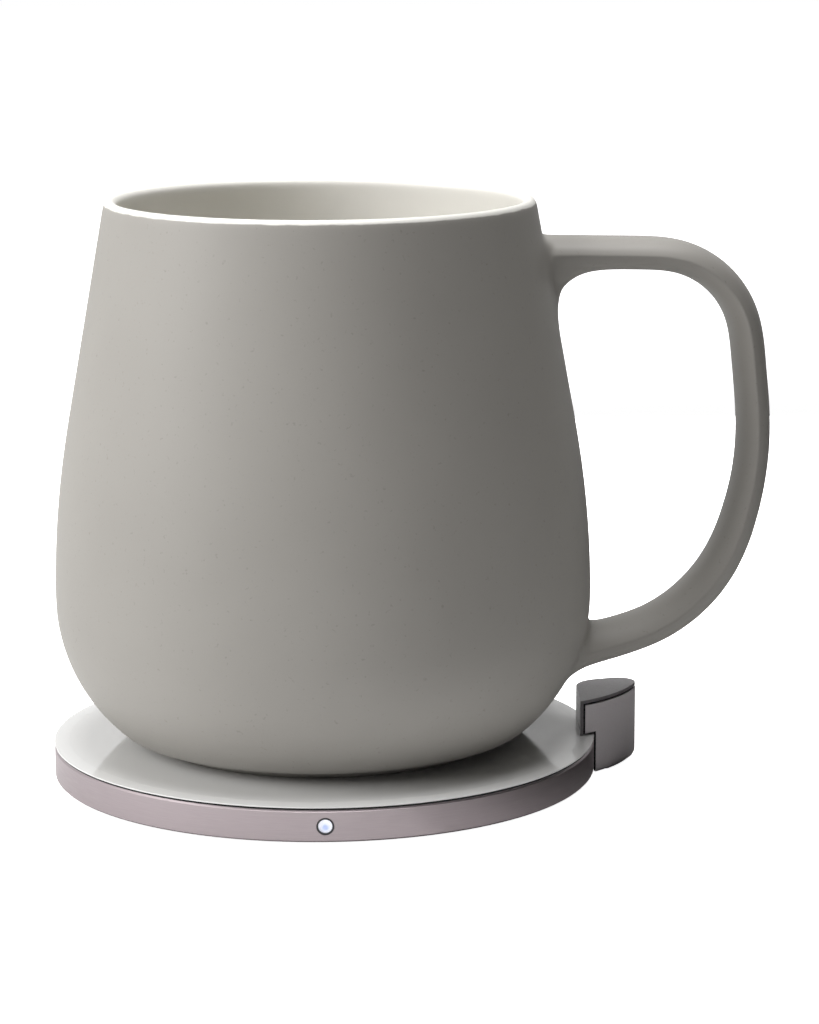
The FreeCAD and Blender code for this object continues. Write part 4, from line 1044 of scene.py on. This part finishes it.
# %% [markdown]
# Cutting one block with another is a Boolean modifier, on two objects that exist only for a moment.
# It works in millimetres, because the exact solver is safer with numbers of that size, and the
# finished piece is scaled to metres.

# %% Cutting blocks
DRUM_SIDES = 384
SLOT_SIDES = 34


def carve(bm, cutter, operation="DIFFERENCE"):
    """Cut a bmesh with another one and give the result back."""
    pair = [object_from(part, "block") for part in (bm, cutter)]
    cut = pair[0].modifiers.new("cut", "BOOLEAN")
    cut.operation = operation
    cut.solver = "EXACT"
    cut.object = pair[1]
    result = bmesh.new()
    result.from_object(pair[0], bpy.context.evaluated_depsgraph_get())
    for block in pair:
        bpy.data.meshes.remove(block.data)
    bm.free()
    bmesh.ops.dissolve_limit(result, angle_limit=0.002, verts=result.verts, edges=result.edges)
    return result


def brick(low, high):
    """A plain block from one corner to the other."""
    bm = bmesh.new()
    bmesh.ops.create_cube(bm, size=1.0)
    bmesh.ops.scale(bm, vec=Vector(high) - Vector(low), verts=bm.verts)
    bmesh.ops.translate(bm, vec=(Vector(high) + Vector(low)) / 2, verts=bm.verts)
    return bm


def drum(radius, low, high):
    """An upright cylinder round the middle of the base."""
    bm = bmesh.new()
    bmesh.ops.create_cone(bm, cap_ends=True, segments=DRUM_SIDES, radius1=radius, radius2=radius,
                          depth=high - low)
    bmesh.ops.translate(bm, vec=(0, 0, (high + low) / 2), verts=bm.verts)
    return bm


def round_edges(bm, width, angle=math.radians(40)):
    """Take the sharpness off every edge that turns by more than the angle."""
    sharp = [edge for edge in bm.edges if edge.is_manifold and edge.calc_face_angle() > angle]
    bmesh.ops.bevel(bm, geom=sharp, offset=width, segments=2, profile=0.5, affect="EDGES",
                    material=-1, clamp_overlap=True)


def inlet_slot(gap, start, end):
    """Slot with round ends, as wide and high as the inlet and a little more."""
    low, high = (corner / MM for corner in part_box("inlet_shell"))
    radius = (high.x - low.x) / 2 + gap
    rise = (high.z - low.z) / 2 + gap - radius
    bm = bmesh.new()
    bmesh.ops.create_circle(bm, cap_ends=True, segments=SLOT_SIDES, radius=radius)
    upright = Quaternion((1, 0, 0), math.radians(90)).to_matrix()
    bmesh.ops.rotate(bm, cent=(0, 0, 0), matrix=upright, verts=bm.verts)
    for sign in (-1, 1):
        half = [vert for vert in bm.verts if vert.co.z * sign > 0]
        bmesh.ops.translate(bm, vec=(0, 0, rise * sign), verts=half)
    raised = bmesh.ops.extrude_face_region(bm, geom=bm.faces[:])["geom"]
    raised = [item for item in raised if isinstance(item, bmesh.types.BMVert)]
    bmesh.ops.translate(bm, vec=(0, end - start, 0), verts=raised)
    bmesh.ops.translate(bm, vec=((low.x + high.x) / 2, start, (low.z + high.z) / 2), verts=bm.verts)
    bmesh.ops.recalc_face_normals(bm, faces=bm.faces)
    return bm


print("helpers for cutting blocks are ready")

# %% [markdown]
# Two shapes are taken out of the body and the frame: the hollow for the inlet's board, and the mouth
# for the plug, which has the inlet's own outline and a little room. A third, a drum a little wider
# than the base, takes away what would lie inside the base, so the post sits over the plate's edge.

# %% Hollow and mouth
TRIM_THICKNESS = 0.55
SHADOW_GAP = 0.32
PLATE_EDGE = 45.0
body_top = post_high.z - TRIM_THICKNESS - SHADOW_GAP
body_side = post_low.x + TRIM_THICKNESS + SHADOW_GAP
over_plate = PLATE_TOP + 0.08
HOLLOW_INSET, HOLLOW_ROOF, HOLLOW_START = 1.0, 1.1, 0.8
MOUTH_ROOM, MOUTH_START, MOUTH_END = 0.08, 8.8, 13.0
hollow = post_block(HOLLOW_INSET, PLATE_EDGE + 0.15, post_low.z - 1, body_top - HOLLOW_ROOF)
hollow = carve(hollow, brick((40, HOLLOW_START, -5), (60, 20, 20)), "INTERSECT")
mouth = inlet_slot(MOUTH_ROOM, MOUTH_START, MOUTH_END)
print("hollow and mouth:", len(hollow.faces), len(mouth.faces), "faces")

# %% [markdown]
# The body has a rounded foot and hangs down outside the ring. The inner frame follows it a little
# further in, and shows only as the dark line in the shadow gap: the gap's real shade, deepened by the
# frame's near-black colour as painted shade.

# %% Body and inner frame of the post
FOOT_ROUND = 1.6
FRAME_INSET = 0.4
post_body = post_block(0.0, body_side, post_low.z, body_top, FOOT_ROUND)
post_body = carve(post_body, drum(PLATE_EDGE + SHADOW_GAP, -1, over_plate + 0.25))
for cutter in (hollow, mouth):
    post_body = carve(post_body, cutter)

frame_side = post_low.x + TRIM_THICKNESS
# The frame's near-black finish is painted shade, deepening the dark line of the shadow gap.
inner_frame = post_block(FRAME_INSET, frame_side, post_low.z + 0.5, body_top + SHADOW_GAP)
inner_frame = carve(inner_frame, drum(PLATE_EDGE + 0.04, -1, over_plate))
for cutter in (hollow, mouth, post_body):
    inner_frame = carve(inner_frame, cutter)
print("body and frame:", len(post_body.faces), len(inner_frame.faces), "faces")

# %% [markdown]
# The trim is a block with the inside of the L cut out, and with an opening for the panel that faces
# the mug. At last the edges of the trim and of the body lose their sharpness.

# %% Trim of the post
TRIM_INSET = 0.06
TRIM_ROUND, BODY_ROUND = 0.14, 0.10
panel_low, panel_high = (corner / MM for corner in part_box("post_face"))
panel_room = Vector((1, 0.1, 0.1))
post_trim = post_block(TRIM_INSET, post_low.x, over_plate, post_high.z)
post_trim = carve(post_trim, brick((frame_side, -20, 0), (60, 20, post_high.z - TRIM_THICKNESS)))
post_trim = carve(post_trim, brick(panel_low - panel_room, panel_high + panel_room))
round_edges(post_trim, TRIM_ROUND)
round_edges(post_body, BODY_ROUND, math.radians(50))
print("trim:", len(post_trim.faces), "faces")

# %% Make the post's pieces
for bm, name, slot in ((post_body, "post_body", "post_satin"), (post_trim, "post_trim", "panel_satin"),
                       (inner_frame, "post_inner_frame", "bezel_dark")):
    bmesh.ops.scale(bm, vec=(MM, MM, MM), verts=bm.verts)
    piece = finish_piece(bm, name, "base", FINISHES[slot])
    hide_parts("post_shell")
    print(name, len(piece.data.polygons), "faces")
